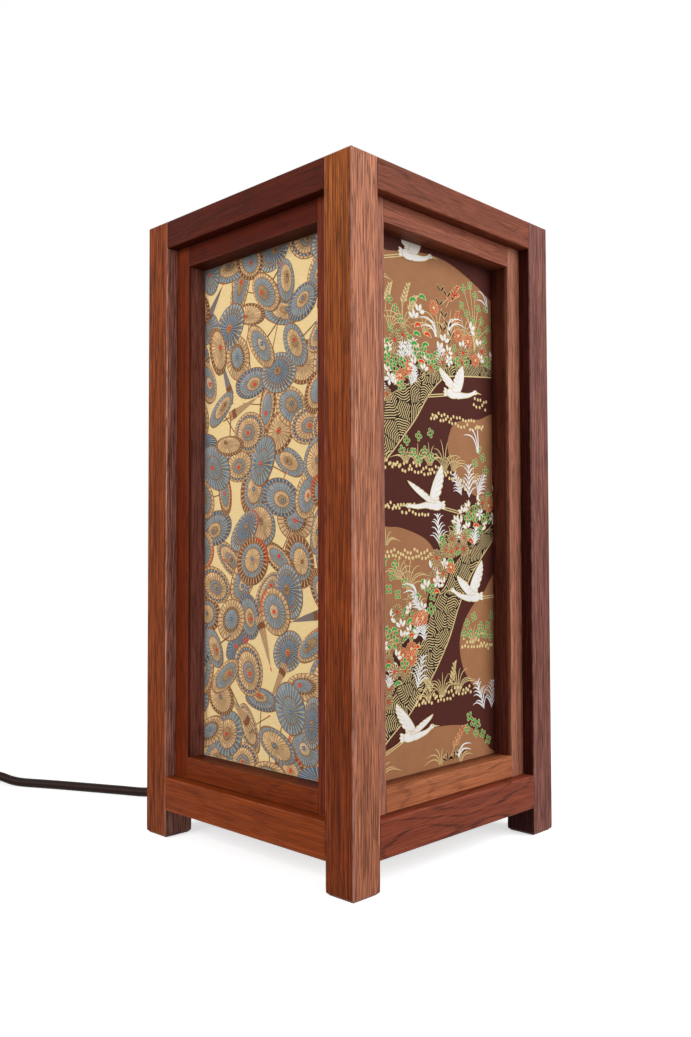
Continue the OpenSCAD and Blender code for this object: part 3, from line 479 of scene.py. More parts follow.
CAMERA_PLACE = (0.39866, -0.4096, 0.16414)
CAMERA_TURNS = ((44.4244, "Z"), (92.0758, "X"), (-0.1637, "Z"))
FLOOR_REACH = 4.0
FLOOR_CELLS = 8
# Place and size of each light, and what both of them face
KEY_LIGHT = ((1.1, 0.5, 0.7), (1.1, 1.1))
FILL_LIGHT = ((-0.12, -1.2, 0.65), (0.8, 0.8))
LAMP_MIDDLE = Vector((0, 0, 0.18))


class LANTERN_OT_stage(bpy.types.Operator):
    """Makes the camera, the floor, the lights and the world"""

    bl_idname = "lantern.stage"
    bl_label = "Stage"

    def execute(self, context):
        scene, sizes = context.scene, context.scene.lantern_stage
        camera = bpy.data.cameras.new("camera")
        camera.lens, camera.sensor_width, camera.sensor_fit = sizes.focal, 36.0, "AUTO"
        camera.clip_start, camera.clip_end = 0.01, 50.0
        holder = bpy.data.objects.new("camera", camera)
        turn = Matrix.Identity(4)
        for angle, axis in CAMERA_TURNS:
            turn = turn @ Matrix.Rotation(math.radians(angle), 4, axis)
        holder.matrix_world = Matrix.Translation(CAMERA_PLACE) @ turn
        scene.collection.objects.link(holder)
        scene.camera = holder
        scene.view_settings.view_transform = "Standard"
        self.floor(context)
        self.light(context, "key_light", sizes.key, *KEY_LIGHT)
        self.light(context, "fill_light", sizes.fill, *FILL_LIGHT)
        self.world(context, sizes.around)
        return {"FINISHED"}

    def floor(self, context):
        """A square grid at height 0. Where it is seen it is near white and takes shadows, and
        other rays find it darker, so that it doesn't light the rails from below."""
        count = FLOOR_CELLS + 1
        across = np.linspace(-FLOOR_REACH, FLOOR_REACH, count)
        x, y = np.meshgrid(across, across, indexing="ij")
        points = np.stack([x.ravel(), y.ravel(), np.zeros(x.size)], 1)
        first = (np.arange(FLOOR_CELLS)[:, None] * count + np.arange(FLOOR_CELLS)).ravel()
        faces = np.stack([first, first + count, first + count + 1, first + 1], 1)
        mesh = bpy.data.meshes.new("floor")
        mesh.from_pydata(points, [], faces)
        material, w, shader, place = new_material("Pale floor")
        seen = w.seen()
        speckle = w.fade(w.noise(place, 30.0, 3.0), 0.3, 0.7, 0.0, 0.04)
        pale = w.mix(speckle, (0.92, 0.92, 0.92), (0.84, 0.84, 0.84))
        away = w.node("VectorMath", {0: place}, operation="LENGTH").outputs["Value"]
        far = w.fade(away, 0.25, 0.8)
        pale = w.mix(far, pale, (0.0, 0.0, 0.0))
        glow = w.mix(far, (0.62, 0.62, 0.62), (1.0, 1.0, 1.0))
        w.feed(shader.inputs["Base Color"], w.mix(seen, (0.16, 0.15, 0.15), pale))
        w.feed(shader.inputs["Emission Color"], w.mix(seen, (0, 0, 0), glow))
        set_shader(shader, roughness=0.9, emission_strength=1.0)
        mesh.materials.append(material)
        piece = bpy.data.objects.new("floor", mesh)
        context.scene.collection.objects.link(piece)

    def light(self, context, name, power, place, size):
        """A soft rectangular light that faces the middle of the lamp."""
        lamp = bpy.data.lights.new(name, "AREA")
        lamp.shape, lamp.size, lamp.size_y, lamp.energy = "RECTANGLE", *size, power
        piece = bpy.data.objects.new(name, lamp)
        away = Vector(place) - LAMP_MIDDLE
        turn = away.to_track_quat("Z", "Y").to_matrix().to_4x4()
        piece.matrix_world = Matrix.Translation(place) @ turn
        context.scene.collection.objects.link(piece)

    def world(self, context, strength):
        """White to the camera, in reflections and through glass, and a plain grey light to all
        else."""
        world = bpy.data.worlds.new("studio")
        world.use_nodes = True
        w = Wiring(world.node_tree)
        background = world.node_tree.nodes["Background"]
        w.feed(background.inputs["Color"], w.mix(w.seen(), (strength,) * 3, (1.0, 1.0, 1.0)))
        context.scene.world = world


# Cords, in millimetres from the ground under the middle of the rail's hole

CORD_HOLE = np.array([-85.0, -27.0, 0.0])
LEAD_POINTS = [
    (-22, 0, 23.5), (-28, 0, 23.5), (-36.2, -0.5, 22.3), (-43.8, -1.8, 18.8), (-50, -3.5, 13.2),
    (-56.2, -5.7, 7.7), (-63.8, -9.2, 4.2), (-72, -13.2, 3), (-86, -20, 3), (-100, -27, 3),
    (-114, -34, 3), (-128, -41, 3), (-142, -48.5, 3), (-156, -56, 3), (-164, -60.5, 3.9),
    (-172, -65, 6.2),
]
TAIL_STEPS = [(7.1, 9.4), (14, 6.6), (21.1, 3.9), (28, 3), (36, 3), (42.5, 3.6), (49, 5.5),
              (55.5, 7.4)]
SWITCH = np.array([-207.0, -85.0, 7.5])
SWITCH_HEADING = 210.0
# Half the switch between its ends of cord, and the straight cord on each side of it
SWITCH_HALF = 12.0
SWITCH_INLET = 18.0
# Height of a cord's middle on the ground, and of the plug's
GROUND = 3.0
PLUG_HEIGHT = 8.0
# The bend past the switch: where it starts, its radius, its sweep and the sweep over which
# it comes down, and the angle between its points
BEND_START = 33.0
BEND_RADIUS = 28.0
BEND_SWEEP = 108.0
BEND_FALL = 72.0
BEND_STEP = 12.0
# From the bend to the coil: how far it is, and the distance and rise of the points
STRAIGHT = 41.5
RUN_IN = [(8, 0), (16, 0), (23, 0.35)]
COIL_START = SWITCH_HEADING - 90.0 + BEND_SWEEP
COIL_HEIGHT = 3.7
COIL_POINTS = 40
TAIL_LENGTH = 68.0
# Points on each span of a smooth line, and the distance between those that are kept
SPAN_POINTS = 12
LINE_STEP = 3.0


def way(angle):
    """The level unit vector at an angle in degrees."""
    return np.array([math.cos(math.radians(angle)), math.sin(math.radians(angle)), 0.0])


def coil_line(middle, outer, turns, pitch, per_turn):
    """The coil in millimetres. It winds inwards on the ground and outwards on top of itself:
    at t turns the radius is the outer one less a pitch per turn up to the middle, and the
    height rises by a pitch on a smooth step round the middle."""
    t = np.linspace(0, turns, int(turns * per_turn) + 1)
    away = outer - pitch * (turns / 2 - np.abs(t - turns / 2))
    step = np.clip(2 * (t - turns / 2) + 0.5, 0, 1)
    angle = np.radians(COIL_START + 360 * t)
    return np.stack([
        middle[0] + away * np.cos(angle),
        middle[1] + away * np.sin(angle),
        COIL_HEIGHT + pitch * step * step * (3 - 2 * step),
    ], 1), np.stack([-np.sin(angle), np.cos(angle), 0 * angle], 1)


def bend_line(middle):
    """The bend past the switch: a circle's arc round the middle, whose height falls from the
    switch's to the ground on a smooth step over the bend's first part."""
    turn = np.arange(0.0, BEND_SWEEP + 1, BEND_STEP)
    angle = np.radians(SWITCH_HEADING - 90 + turn)
    share = np.clip(turn / BEND_FALL, 0, 1)
    height = SWITCH[2] - (SWITCH[2] - GROUND) * share * share * (3 - 2 * share)
    flat = middle[:2] + BEND_RADIUS * np.stack([np.cos(angle), np.sin(angle)], 1)
    return np.column_stack([flat, height])


def cord_lines(cord):
    """The two free stretches in metres: lamp to switch, and switch through the coil to plug."""
    thick, pitch = cord.diameter * 1000, cord.coil_pitch * 1000
    heading, on = way(SWITCH_HEADING), way(COIL_START + 90)
    near, far = SWITCH_HALF * heading, (SWITCH_HALF + SWITCH_INLET) * heading
    lead = np.vstack([LEAD_POINTS, SWITCH - far, SWITCH - near])
    bend_middle = SWITCH + BEND_START * heading + BEND_RADIUS * way(SWITCH_HEADING + 90)
    bend = bend_line(bend_middle)
    outer = cord.coil_radius * 1000 + cord.coil_turns * pitch / 4
    middle = bend_middle + (BEND_RADIUS - outer) * way(COIL_START) + STRAIGHT * on
    coil, along = coil_line(middle, outer, cord.coil_turns, pitch, COIL_POINTS)
    ahead, rise = np.array(RUN_IN).T[:, :, None]
    to_coil = np.vstack([
        SWITCH + near, SWITCH + far, bend, bend[-1] + ahead * on + rise * (0, 0, 1),
        coil[0] - 2 * thick * along[0], coil[0] - thick * along[0],
    ])
    last = coil[-1] + 2 * thick * along[-1]
    plug = np.array([last[0], last[1], PLUG_HEIGHT]) + TAIL_LENGTH * along[-1]
    steps = np.array(TAIL_STEPS)
    tail = np.vstack([
        coil[-1] + thick * along[-1], last,
        np.column_stack([last[:2] + steps[:, :1] * along[-1, :2], steps[:, 1]]),
        plug - thick * along[-1], plug,
    ])
    run = [evenly(smooth(p, SPAN_POINTS * len(p)), LINE_STEP) for p in (lead, to_coil, tail)]
    rest = np.vstack([run[1], coil, run[2]])
    return (run[0] + CORD_HOLE) / 1000, (rest + CORD_HOLE) / 1000


class LANTERN_OT_cords(bpy.types.Operator):
    """Lays the two stretches of cord, and finishes the bush, the switch, the strap and the plug"""

    bl_idname = "lantern.cords"
    bl_label = "Cords, switch and plug"

    def execute(self, context):
        cord = context.scene.lantern_cord
        shade = tuple(cord.sheath)
        sheath = coated("Cord sheath", shade, tuple(0.6 * c for c in shade), (0.42, 0.55),
                        depth=0.00001, specular_ior_level=0.12)
        lead, rest = cord_lines(cord)
        on_lead = ("switch_lower", "switch_upper", "switch_rocker", "switch_contacts",
                   "switch_screws")
        for name, line, nodes, end, pieces, lay in (
            ("cord_to_switch", lead, ("cord_lead",), "fitting", on_lead, "loose"),
            ("cord_to_plug", rest, ("cord_middle", "cord_coil", "cord_tail"), "plug",
             ("plug_body", "plug_blades", "coil_tie"), "coiled"),
        ):
            piece = cord_curve(name, line, cord.diameter, sheath)
            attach(piece, "lamp")
            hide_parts(*nodes)
        finish(sheath, "cord_inside")
        strap = {"size": 0.6, "share": "Fibres", "amount": 1.0, "specular_ior_level": 0.15}
        coats(
            ("Rubber bush", (34, 22, 18), (46, 30, 24), (0.5, 0.7), 0.00002,
             {"specular_ior_level": 0.15}, ["cord_bush"]),
            ("Switch shell", (38, 22, 16), (56, 36, 28), (0.34, 0.46), 0.00001,
             {"specular_ior_level": 0.22}, ["switch_lower", "switch_upper"]),
            ("Rocker", (26, 17, 14), (42, 30, 26), (0.28, 0.4), 0.00001,
             {"specular_ior_level": 0.3}, ["switch_rocker"]),
            ("Plug body", (38, 22, 16), (54, 34, 26), (0.36, 0.5), 0.00001,
             {"specular_ior_level": 0.2}, ["plug_body"]),
            ("Coil strap", (24, 24, 26), (60, 60, 64), (0.6, 0.8), 0.00003, strap,
             ["coil_tie"]),
        )
        return {"FINISHED"}


# Woodwork


class LANTERN_OT_woodwork(bpy.types.Operator):
    """Finishes the posts, the outer rails and the inner frames, each with its own figure"""

    bl_idname = "lantern.woodwork"
    bl_label = "Woodwork"

    def execute(self, context):
        wood = context.scene.lantern_wood
        streak, wear_and_highlight = tuple(wood.streak), tuple(wood.wear_and_highlight)
        ruddy, rosy_painted_sheen = tuple(wood.ruddy), tuple(wood.rosy_painted_sheen)

        def by(colour, *shares):
            return tuple(min(1.0, c * k) for c, k in zip(colour, shares))

        def boxed(node, outward=(0, 0, 1), cut=None, upper=0.0, middle=(0, 0, 0)):
            low, high = (np.array(c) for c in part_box(node))
            if cut is not None:
                low[cut] = upper
            return (*member(low, high, middle), outward)

        def painted_recess_tone(node, outward, depth, colour):
            """A tone painted on what lies behind the outermost face of a node, standing in for the
            light and shade there.
            """
            out = int(np.argmax(outward))
            face = max(abs(c[out]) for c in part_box(node))
            return ("Out", face - 0.0006, face - depth, colour)

        for number, (name, tone, others, highlight_share) in enumerate((
            ("post_front_right", ruddy,
             [((0, 0, 1), 0.2, 0.34, by(ruddy, 1.34, 1.8, 1.8)),
              ((0, 0, 1), 0.16, 0.04, by(ruddy, 0.76, 0.68, 0.6)),
              # The right face takes the rosy tone: painted light and sheen
              ((1, 1, 0), -0.0012, 0.0012, rosy_painted_sheen),
              ((0, 0, 1), 0.14, 0.04, by(ruddy, 0.7, 0.6, 0.5), 0.25)], 0.5),
            # Its recess side is pale and violet: painted light and reflection
            ("post_front_left", by(ruddy, 0.98, 1.02, 0.98),
             [("Least", 0.0668, 0.0661, by(rosy_painted_sheen, 1.5, 1.9, 2.7))], 0.04),
            # Its recess side is dark: painted shade
            ("post_back_right", by(rosy_painted_sheen, 0.46, 0.43, 0.6),
             [("Least", 0.0668, 0.0661, by(rosy_painted_sheen, 0.16, 0.08, 0.1))], 0.2),
            ("post_back_left", ruddy, [], 0.04),
        )):
            words = name.removeprefix("post_").replace("_", " ")
            finish(timber("Post wood " + words, tone, streak, "z", 3.1 + number,
                          0.5 * wood.wander, contrast=0.5, pores=0.6, box=boxed(name),
                          wear_and_highlight=wear_and_highlight, highlight_share=highlight_share, others=others), name)
        for number, side in enumerate(SIDES):
            facing = side in ("front", "back")
            grain, along, outward = ("x", 0, (0, 1, 0)) if facing else ("y", 1, (1, 0, 0))
            # The right and left rails are paler and pinker: painted light and sheen, as on the
            # rosy faces
            low_tone = by(ruddy, *((1.18, 1.16, 1.08) if facing else (1.08, 1.2, 3.0)))
            top_tone = by(ruddy, *((0.34, 0.19, 0.14) if facing else (1.05, 1.45, 3.8)))
            low_curl, low_arches = (1.5, 0.15) if facing else (2.2, 0.75)
            for node, tone, seed, curl, arches in (
                ("bottom_rail_" + side, low_tone, 7.3, low_curl, low_arches),
                ("top_rail_" + side, top_tone, 11.9, 2.0, 0.4),
            ):
                # Painted shade on the rail's faces behind its outer face
                deep = by(tone, 0.3, 0.2, 0.2)
                finish(timber(node.replace("_", " ").capitalize() + " wood", tone, streak, grain,
                              seed + number, curl * wood.wander, 0.014, arches, bands=0.4,
                              contrast=0.22, pores=0.25, wear_and_highlight=wear_and_highlight, box=boxed(node, outward),
                              others=[painted_recess_tone(node, outward, 0.012, deep)]), node)
            node = "inner_rails_" + side
            low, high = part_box(node)
            middle = (0.0, 0.0, (low[2] + high[2]) / 2)
            tone = by(ruddy, 0.79, 0.72, 0.56) if facing else by(rosy_painted_sheen, 0.94, 0.84, 0.66)
            # Painted shade: the inner top rails are darker, as under the outer top rail
            upper = by(ruddy, 0.35, 0.18, 0.06) if facing else by(rosy_painted_sheen, 0.66, 0.54, 0.54)
            # Painted shade on the inner rail's faces behind its outer face
            deep = by(tone, 0.35, 0.3, 0.3)
            others = [((0, 0, 1), 0.18, 0.2, upper), painted_recess_tone(node, outward, 0.01, deep)]
            finish(timber(f"Inner rail wood {side}", tone, streak, grain, 15.7 + number,
                          2 * wood.wander, 0.016, 0.3, contrast=0.18, pores=0.2, wear_and_highlight=wear_and_highlight,
                          box=boxed(node, outward, 2, OPENING[1, 1] / 1000, middle),
                          others=others), node)
            node = "inner_stiles_" + side
            tone = by(ruddy, 0.65, 0.5, 0.5) if facing else by(rosy_painted_sheen, 0.84, 0.88, 1.0)
            # Painted light on the front and back stiles' sides, and painted shade on the right and
            # left stiles' sides
            deep = by(rosy_painted_sheen, 0.8, 0.8, 1.2) if facing else by(rosy_painted_sheen, 0.36, 0.26, 0.3)
            finish(timber(f"Inner stile wood {side}", tone, streak, "z", 19.4 + number,
                          wood.wander, wear_and_highlight=wear_and_highlight, box=boxed(node, outward, along,
                                                            OPENING[1, 0] / 1000),
                          others=[painted_recess_tone(node, outward, 0.003, deep)]), node)
        return {"FINISHED"}


# Prints, drawn in millimetres across and up each panel


OPENING = np.array([[-53.95, 47.05], [53.95, 331.95]])
# Metres from the lamp's middle to a paper's face, and from there to the lowest ink
PAPER_FACE = 0.066
INK_GAP = 0.00003
# Square millimetres below which a clipped face is left out
LEAST_FACE = 0.0008
PANELS = {
    # outward axis, its sign, the axis that runs across and its sign as seen from outside
    "front": (1, -1.0, 0, 1.0),
    "right": (0, 1.0, 1, 1.0),
    "back": (1, 1.0, 0, -1.0),
    "left": (0, -1.0, 1, -1.0),
}


class Drawing:
    """Flat coloured shapes gathered into one printed piece. A shape's points are across and
    up in millimetres, and its level is its layer."""

    def __init__(self):
        self.points, self.faces, self.colours, self.count = [], [], [], 0

    def add(self, points, faces, colours, level):
        """Clips the points to the opening, turns each face anticlockwise, and leaves out
        faces that the clipping has flattened. A face's area is half the sum of the cross
        products of its neighbouring corners."""
        points = np.clip(np.asarray(points, float), *OPENING)
        faces = np.asarray(faces)
        corner = points[faces]
        after = np.roll(corner, -1, axis=1)
        area = 0.5 * (corner[..., 0] * after[..., 1] - corner[..., 1] * after[..., 0]).sum(1)
        colours = np.broadcast_to(np.asarray(colours, float), (len(faces), 3))
        faces = np.where((area < 0)[:, None], faces[:, ::-1], faces)
        keep = np.abs(area) > LEAST_FACE
        if not keep.any():
            return
        height = np.full((len(points), 1), float(level))
        self.points.append(np.hstack([points, height]))
        self.faces += (faces[keep] + self.count).tolist()
        self.colours.append(np.repeat(colours[keep], faces.shape[1], axis=0))
        self.count += len(points)

    def grid(self, across, up, colours, level):
        """A sheet of four-sided cells. Rows and columns give the points, cells the colours."""
        rows, columns = across.shape
        first = (np.arange(rows - 1)[:, None] * columns + np.arange(columns - 1)).ravel()
        faces = np.stack([first, first + 1, first + columns + 1, first + columns], 1)
        points = np.stack([across.ravel(), up.ravel()], 1)
        self.add(points, faces, np.asarray(colours).reshape(-1, 3), level)

    def ribbon(self, line, width, colour, level):
        """A line with a width: each point is moved half the width to both sides, square to
        the line's direction there."""
        line = np.asarray(line, float)
        way = np.gradient(line, axis=0)
        way /= np.maximum(np.linalg.norm(way, axis=1), 1e-9)[:, None]
        half = (np.broadcast_to(width, len(line)) / 2)[:, None]
        side = np.stack([-way[:, 1], way[:, 0]], 1) * half
        left, right = line + side, line - side
        self.grid(np.stack([left[:, 0], right[:, 0]]), np.stack([left[:, 1], right[:, 1]]),
                  np.broadcast_to(colour, (len(line) - 1, 3)), level)

    def patch(self, outline, colour, level, edge=None, width=0.45):
        """A filled outline, and a line round it one layer higher."""
        outline = np.asarray(outline, float)
        self.add(outline, np.arange(len(outline))[None, :], colour, level)
        if edge is not None:
            self.ribbon(np.vstack([outline, outline[:2]]), width, edge, level + 1)

    def copies(self, outline, turns, places, colours, level):
        """One small outline repeated: each copy is turned by its angle, then moved."""
        outline, places = np.asarray(outline, float), np.asarray(places, float)
        cos, sin = np.cos(turns)[:, None], np.sin(turns)[:, None]
        x = outline[:, 0] * cos - outline[:, 1] * sin + places[:, :1]
        y = outline[:, 0] * sin + outline[:, 1] * cos + places[:, 1:]
        faces = np.arange(x.size).reshape(x.shape)
        self.add(np.stack([x.ravel(), y.ravel()], 1), faces, colours, level)

    def piece(self, name, side, lift, material):
        """The mesh on its panel: across runs to the right as seen from outside, and each
        layer lies one lift further out."""
        outward, sign, along, way = PANELS[side]
        flat = np.vstack(self.points)
        place = np.zeros((len(flat), 3))
        place[:, along] = way * flat[:, 0] / 1000
        place[:, 2] = flat[:, 1] / 1000
        place[:, outward] = sign * (PAPER_FACE + INK_GAP + flat[:, 2] * lift)
        mesh = bpy.data.meshes.new(name)
        mesh.from_pydata(place, [], self.faces)
        ink = mesh.color_attributes.new("Ink", "FLOAT_COLOR", "CORNER")
        rgb = np.vstack(self.colours)
        ink.data.foreach_set("color", np.column_stack([rgb, np.ones(len(rgb))]).ravel())
        self.palette_map(mesh, rgb)
        mesh.materials.append(material)
        piece = bpy.data.objects.new(name, mesh)
        bpy.context.scene.collection.objects.link(piece)
        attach(piece, "lamp")
        return piece

    def palette_map(self, mesh, rgb):
        """A map on which each face lies in the square of its own ink: the square's corner by
        the ink's number, plus the corner's own place round a circle inside it."""
        inks, index = np.unique((rgb * 255).round().astype(int), axis=0, return_inverse=True)
        index = index.ravel()
        side = int(np.ceil(np.sqrt(len(inks))))
        start = np.empty(len(mesh.polygons), int)
        total = np.empty(len(mesh.polygons), int)
        mesh.polygons.foreach_get("loop_start", start)
        mesh.polygons.foreach_get("loop_total", total)
        turn = np.arange(len(rgb)) - np.repeat(start, total)
        angle = 2 * np.pi * turn / np.repeat(total, total)
        u = (index % side + 0.5 + 0.35 * np.cos(angle)) / side
        v = (index // side + 0.5 + 0.35 * np.sin(angle)) / side
        layer = mesh.uv_layers.new(name="OFBake")
        layer.data.foreach_set("uv", np.stack([u, v], 1).astype(np.float32).ravel())


def ink_material(name):
    """Printing ink: the colour comes from the piece's own attribute, a fine speckle and mottle
    dull and darken it here and there, and the fibres of the paper show through as bump."""
    made, w, shader, place = new_material(name)
    ink = w.node("Attribute", attribute_name="Ink").outputs["Color"]
    grain = w.group("Fine grain", {"Vector": place, "Size": 1.0})
    dull = w.mix(1.0, ink, (0.8, 0.78, 0.75), "MULTIPLY")
    flecks = w.count("ADD", grain["Speckle"], grain["Mottle"])
    wear_and_highlight = w.mix(w.count("MULTIPLY", flecks, 0.4), ink, dull)
    w.feed(shader.inputs["Base Color"], wear_and_highlight)
    w.feed(shader.inputs["Roughness"], w.fade(grain["Speckle"], 0.0, 1.0, 0.55, 0.75))
    set_shader(shader, specular_ior_level=DULL)
    bumped(w, shader, grain["Height"], 0.00002, 0.6)
    return made


def stacked(places, reach):
    """A layer for each shape, in drawing order: one more than the highest earlier shape that
    it meets."""
    away = np.linalg.norm(places[:, None] - places[None], axis=2)
    meets = away < 0.97 * (reach[:, None] + reach[None])
    level = np.zeros(len(places), int)
    for i in range(1, len(places)):
        under = level[:i][meets[i, :i]]
        level[i] = under.max() + 1 if under.size else 0
    return level


def umbrella(drawing, inks, centre, reach, flat, turn, lean, rings, ribs, level, rng):
    """An open umbrella from above. On the ring r, from 0 at the tip to 1 at the rim, the
    point at angle a is the centre plus the turned (reach r cos a + (1 - r) lean along,
    flat reach r sin a + (1 - r) lean across). Each ring has ribs, segments in two tones and
    a line at its rim."""
    radii, rows = [0.02], []
    for outer, fill, rib in rings:
        inner = radii[-1]
        line = min(0.046, 0.3 * (outer - inner))
        radii += [inner + 0.5 * (outer - line - inner), outer - line, outer]
        rows += [(fill, 0.9, rib), (fill, 1.06, rib), (inks["line"], 1.0, inks["line"])]
    radii = np.array(radii)[:, None]
    pitch = 2 * np.pi / ribs
    marks = (np.arange(ribs)[:, None] * pitch + np.array([0.0, 0.23 * pitch])).ravel()
    angle = np.append(marks, 2 * np.pi)[None, :]
    x = reach * radii * np.cos(angle) + (1 - radii) * lean[0] * reach
    y = flat * reach * radii * np.sin(angle) + (1 - radii) * lean[1] * reach * flat
    across = centre[0] + x * np.cos(turn) - y * np.sin(turn)
    up = centre[1] + x * np.sin(turn) + y * np.cos(turn)
    tone = 1 + 0.1 * rng.standard_normal((len(rows), ribs, 1))
    shade = 1 + 0.14 * np.cos(angle[0, :-1:2] + turn - 2.2)[None, :, None]
    cells = np.empty((len(rows), 2 * ribs, 3))
    for k, (fill, light, rib) in enumerate(rows):
        cells[k, 0::2] = rib
        cells[k, 1::2] = np.array(fill) * light
    cells[:, 1::2] *= tone * shade
    if len(rings) > 1 and rng.random() < 0.2:
        some = (rng.integers(2 * ribs) + np.arange(ribs // 2)) % (2 * ribs)
        cells[-2, some] = 0.35 * cells[-2, some] + 0.65 * inks["red"]
    drawing.grid(across, up, np.clip(cells, 0, 1), level)


def star(drawing, place, radius, ink, core, level):
    """The small flower round an umbrella's tip: its radius swells and shrinks five times."""
    angle = np.linspace(0, 2 * np.pi, 20, endpoint=False)
    away = radius * (1 + 0.22 * np.cos(5 * angle))[:, None]
    round_it = np.stack([np.cos(angle), np.sin(angle)], 1)
    drawing.patch(place + away * round_it, ink, level)
    drawing.patch(place + 0.3 * radius * round_it[::3], core, level + 1)


def closed_umbrella(drawing, inks, centre, reach, turn, fill, level):
    """A closed umbrella: a narrow cone whose half width grows with the distance from its tip,
    striped along its length, with a band, a handle and a red tip."""
    t = np.linspace(0.0, 1.0, 9)[:, None]
    s = np.linspace(-1.0, 1.0, 10)[None, :]
    x = reach * (2.0 * t - 1.0) - 0.06 * reach * np.abs(s) * t
    y = 0.24 * reach * t**0.8 * s
    cells = np.empty((8, 9, 3))
    cells[:, 0::2] = fill
    cells[:, 1::2] = inks["line"]
    cells[-2] = inks["brown"]
    cos, sin = np.cos(turn), np.sin(turn)
    way = np.array([cos, sin])
    drawing.ribbon(centre + np.outer([-1.15, -1.0], way) * reach, 0.7, inks["red"], level)
    drawing.ribbon(centre + np.outer([1.0, 1.4], way) * reach, 0.7, inks["brown"], level)
    drawing.grid(centre[0] + x * cos - y * sin, centre[1] + x * sin + y * cos, cells, level + 1)


# Umbrellas: their spacing across and up, their scatter and their sizes, in umbrella radii
SPACING = (1.46, 1.16)
SCATTER = 0.28
SIZES = (0.84, 1.1)
PRINT_FOOT = 47
# Layers that one umbrella takes up
UMBRELLA_LAYERS = 8
# Shares of closed umbrellas, and of these and wide open ones, and how flat each kind looks
CLOSED_SHARE = 0.06
WIDE_SHARE = 0.58
WIDE = (0.66, 0.92)
NARROW = (0.42, 0.64)


def umbrella_drawing(paper):
    """Umbrellas on staggered rows, each moved a little, sized, turned and stacked at random."""
    rng = np.random.default_rng(paper.seed)
    c = {k: np.array(tuple(getattr(paper, k))) for k in
         ("gold", "blue", "deep_blue", "tan", "brown", "red")}
    inks = {"line": 0.8 * c["brown"] + 0.16 * c["tan"], "red": c["red"], "brown": c["brown"]}
    blue, deep, tan, brown, pale = c["blue"], c["deep_blue"], c["tan"], c["brown"], c["gold"]
    ochre, dim, ridge, gilt = 0.6 * tan, 0.82 * blue, 1.25 * brown, 0.74 * pale
    schemes = [
        [(0.24, ochre, brown), (0.44, tan, ridge), (0.82, blue, gilt), (1.0, deep, gilt)],
        [(0.2, ochre, brown), (0.8, tan, ridge), (1.0, blue, gilt)],
        [(0.4, ochre, brown), (0.78, blue, gilt), (1.0, tan, ridge)],
        [(0.32, tan, dim), (0.74, blue, gilt), (1.0, tan, ridge)],
        [(0.22, ochre, brown), (0.62, deep, gilt), (0.78, dim, gilt), (1.0, blue, pale)],
        [(0.5, blue, gilt), (0.62, 0.6 * brown, pale), (1.0, tan, ridge)],
        [(0.26, ochre, dim), (0.42, blue, gilt), (0.76, tan, ridge), (0.87, deep, pale),
         (1.0, tan, ridge)],
        [(0.16, ochre, brown), (0.84, tan, ridge), (1.0, brown, tan)],
        [(0.52, tan, ridge), (0.74, blue, gilt), (1.0, brown, tan)],
        [(0.55, dim, gilt), (1.0, blue, gilt)],
        [(0.14, ochre, ochre), (1.0, deep, gilt)],
        [(1.0, 0.8 * brown, tan)],
        [(0.6, blue, gilt), (0.82, tan, ridge), (1.0, 0.8 * brown, tan)],
        [(0.3, ochre, brown), (0.66, tan, ridge), (1.0, blue, gilt)],
    ]
    odds = np.array([4, 5, 3, 3, 3, 2, 4, 3, 5, 3, 1, 0.4, 4, 4], float)
    reach = paper.umbrella * 1000
    rows, columns = np.arange(-1, 19), np.arange(-3, 4)
    row, column = (g.ravel() for g in np.meshgrid(rows, columns, indexing="ij"))
    places = np.stack([(column + 0.5 * (row % 2)) * SPACING[0] * reach,
                       PRINT_FOOT + row * SPACING[1] * reach], 1)
    places += rng.uniform(-SCATTER, SCATTER, places.shape) * reach
    places = places[rng.permutation(len(places))]
    sizes = reach * rng.uniform(*SIZES, len(places))
    levels = UMBRELLA_LAYERS * stacked(places, sizes)
    drawing = Drawing()
    for place, size, level in zip(places, sizes, levels):
        turn, kind = rng.uniform(0, 2 * np.pi), rng.random()
        scheme = schemes[rng.choice(len(schemes), p=odds / odds.sum())]
        if kind < CLOSED_SHARE:
            fill = (blue, tan, dim)[rng.integers(3)]
            closed_umbrella(drawing, inks, place, 0.95 * size, turn, fill, level)
            continue
        flat = rng.uniform(*(WIDE if kind < WIDE_SHARE else NARROW))
        out = np.array([-np.sin(turn), np.cos(turn)])
        if flat < NARROW[1]:
            stick = place + np.outer([0.1, 1.25, 1.4], -out) * size
            drawing.ribbon(stick[:2], 0.6, inks["brown"], level)
            drawing.ribbon(stick[1:], 0.8, (inks["red"], dim)[rng.integers(2)], level + 1)
            under = (0.8 * brown, dim, ochre)[rng.integers(3)]
            below = [(0.3, 0.8 * under, tan), (1.0, under, tan)]
            umbrella(drawing, inks, place - 0.2 * flat * size * out, size, 0.82 * flat, turn,
                     (0, 0.3), below, 20, level + 2, rng)
        lean = rng.uniform(-1, 1, 2) * (1.05 - flat) * 0.7
        ribs = int(rng.integers(24, 32))
        umbrella(drawing, inks, place, size, flat, turn, lean, scheme, ribs, level + 4, rng)
        tip = lean * size * (1, flat)
        tip = place + (tip[0] * np.cos(turn) - tip[1] * np.sin(turn),
                       tip[0] * np.sin(turn) + tip[1] * np.cos(turn))
        ink, core = ((c["red"], ochre), (deep, pale), (brown, ochre),
                     (c["red"], c["red"]))[rng.integers(4)]
        star(drawing, tip, 0.085 * size, ink, core, level + 5)
    return drawing


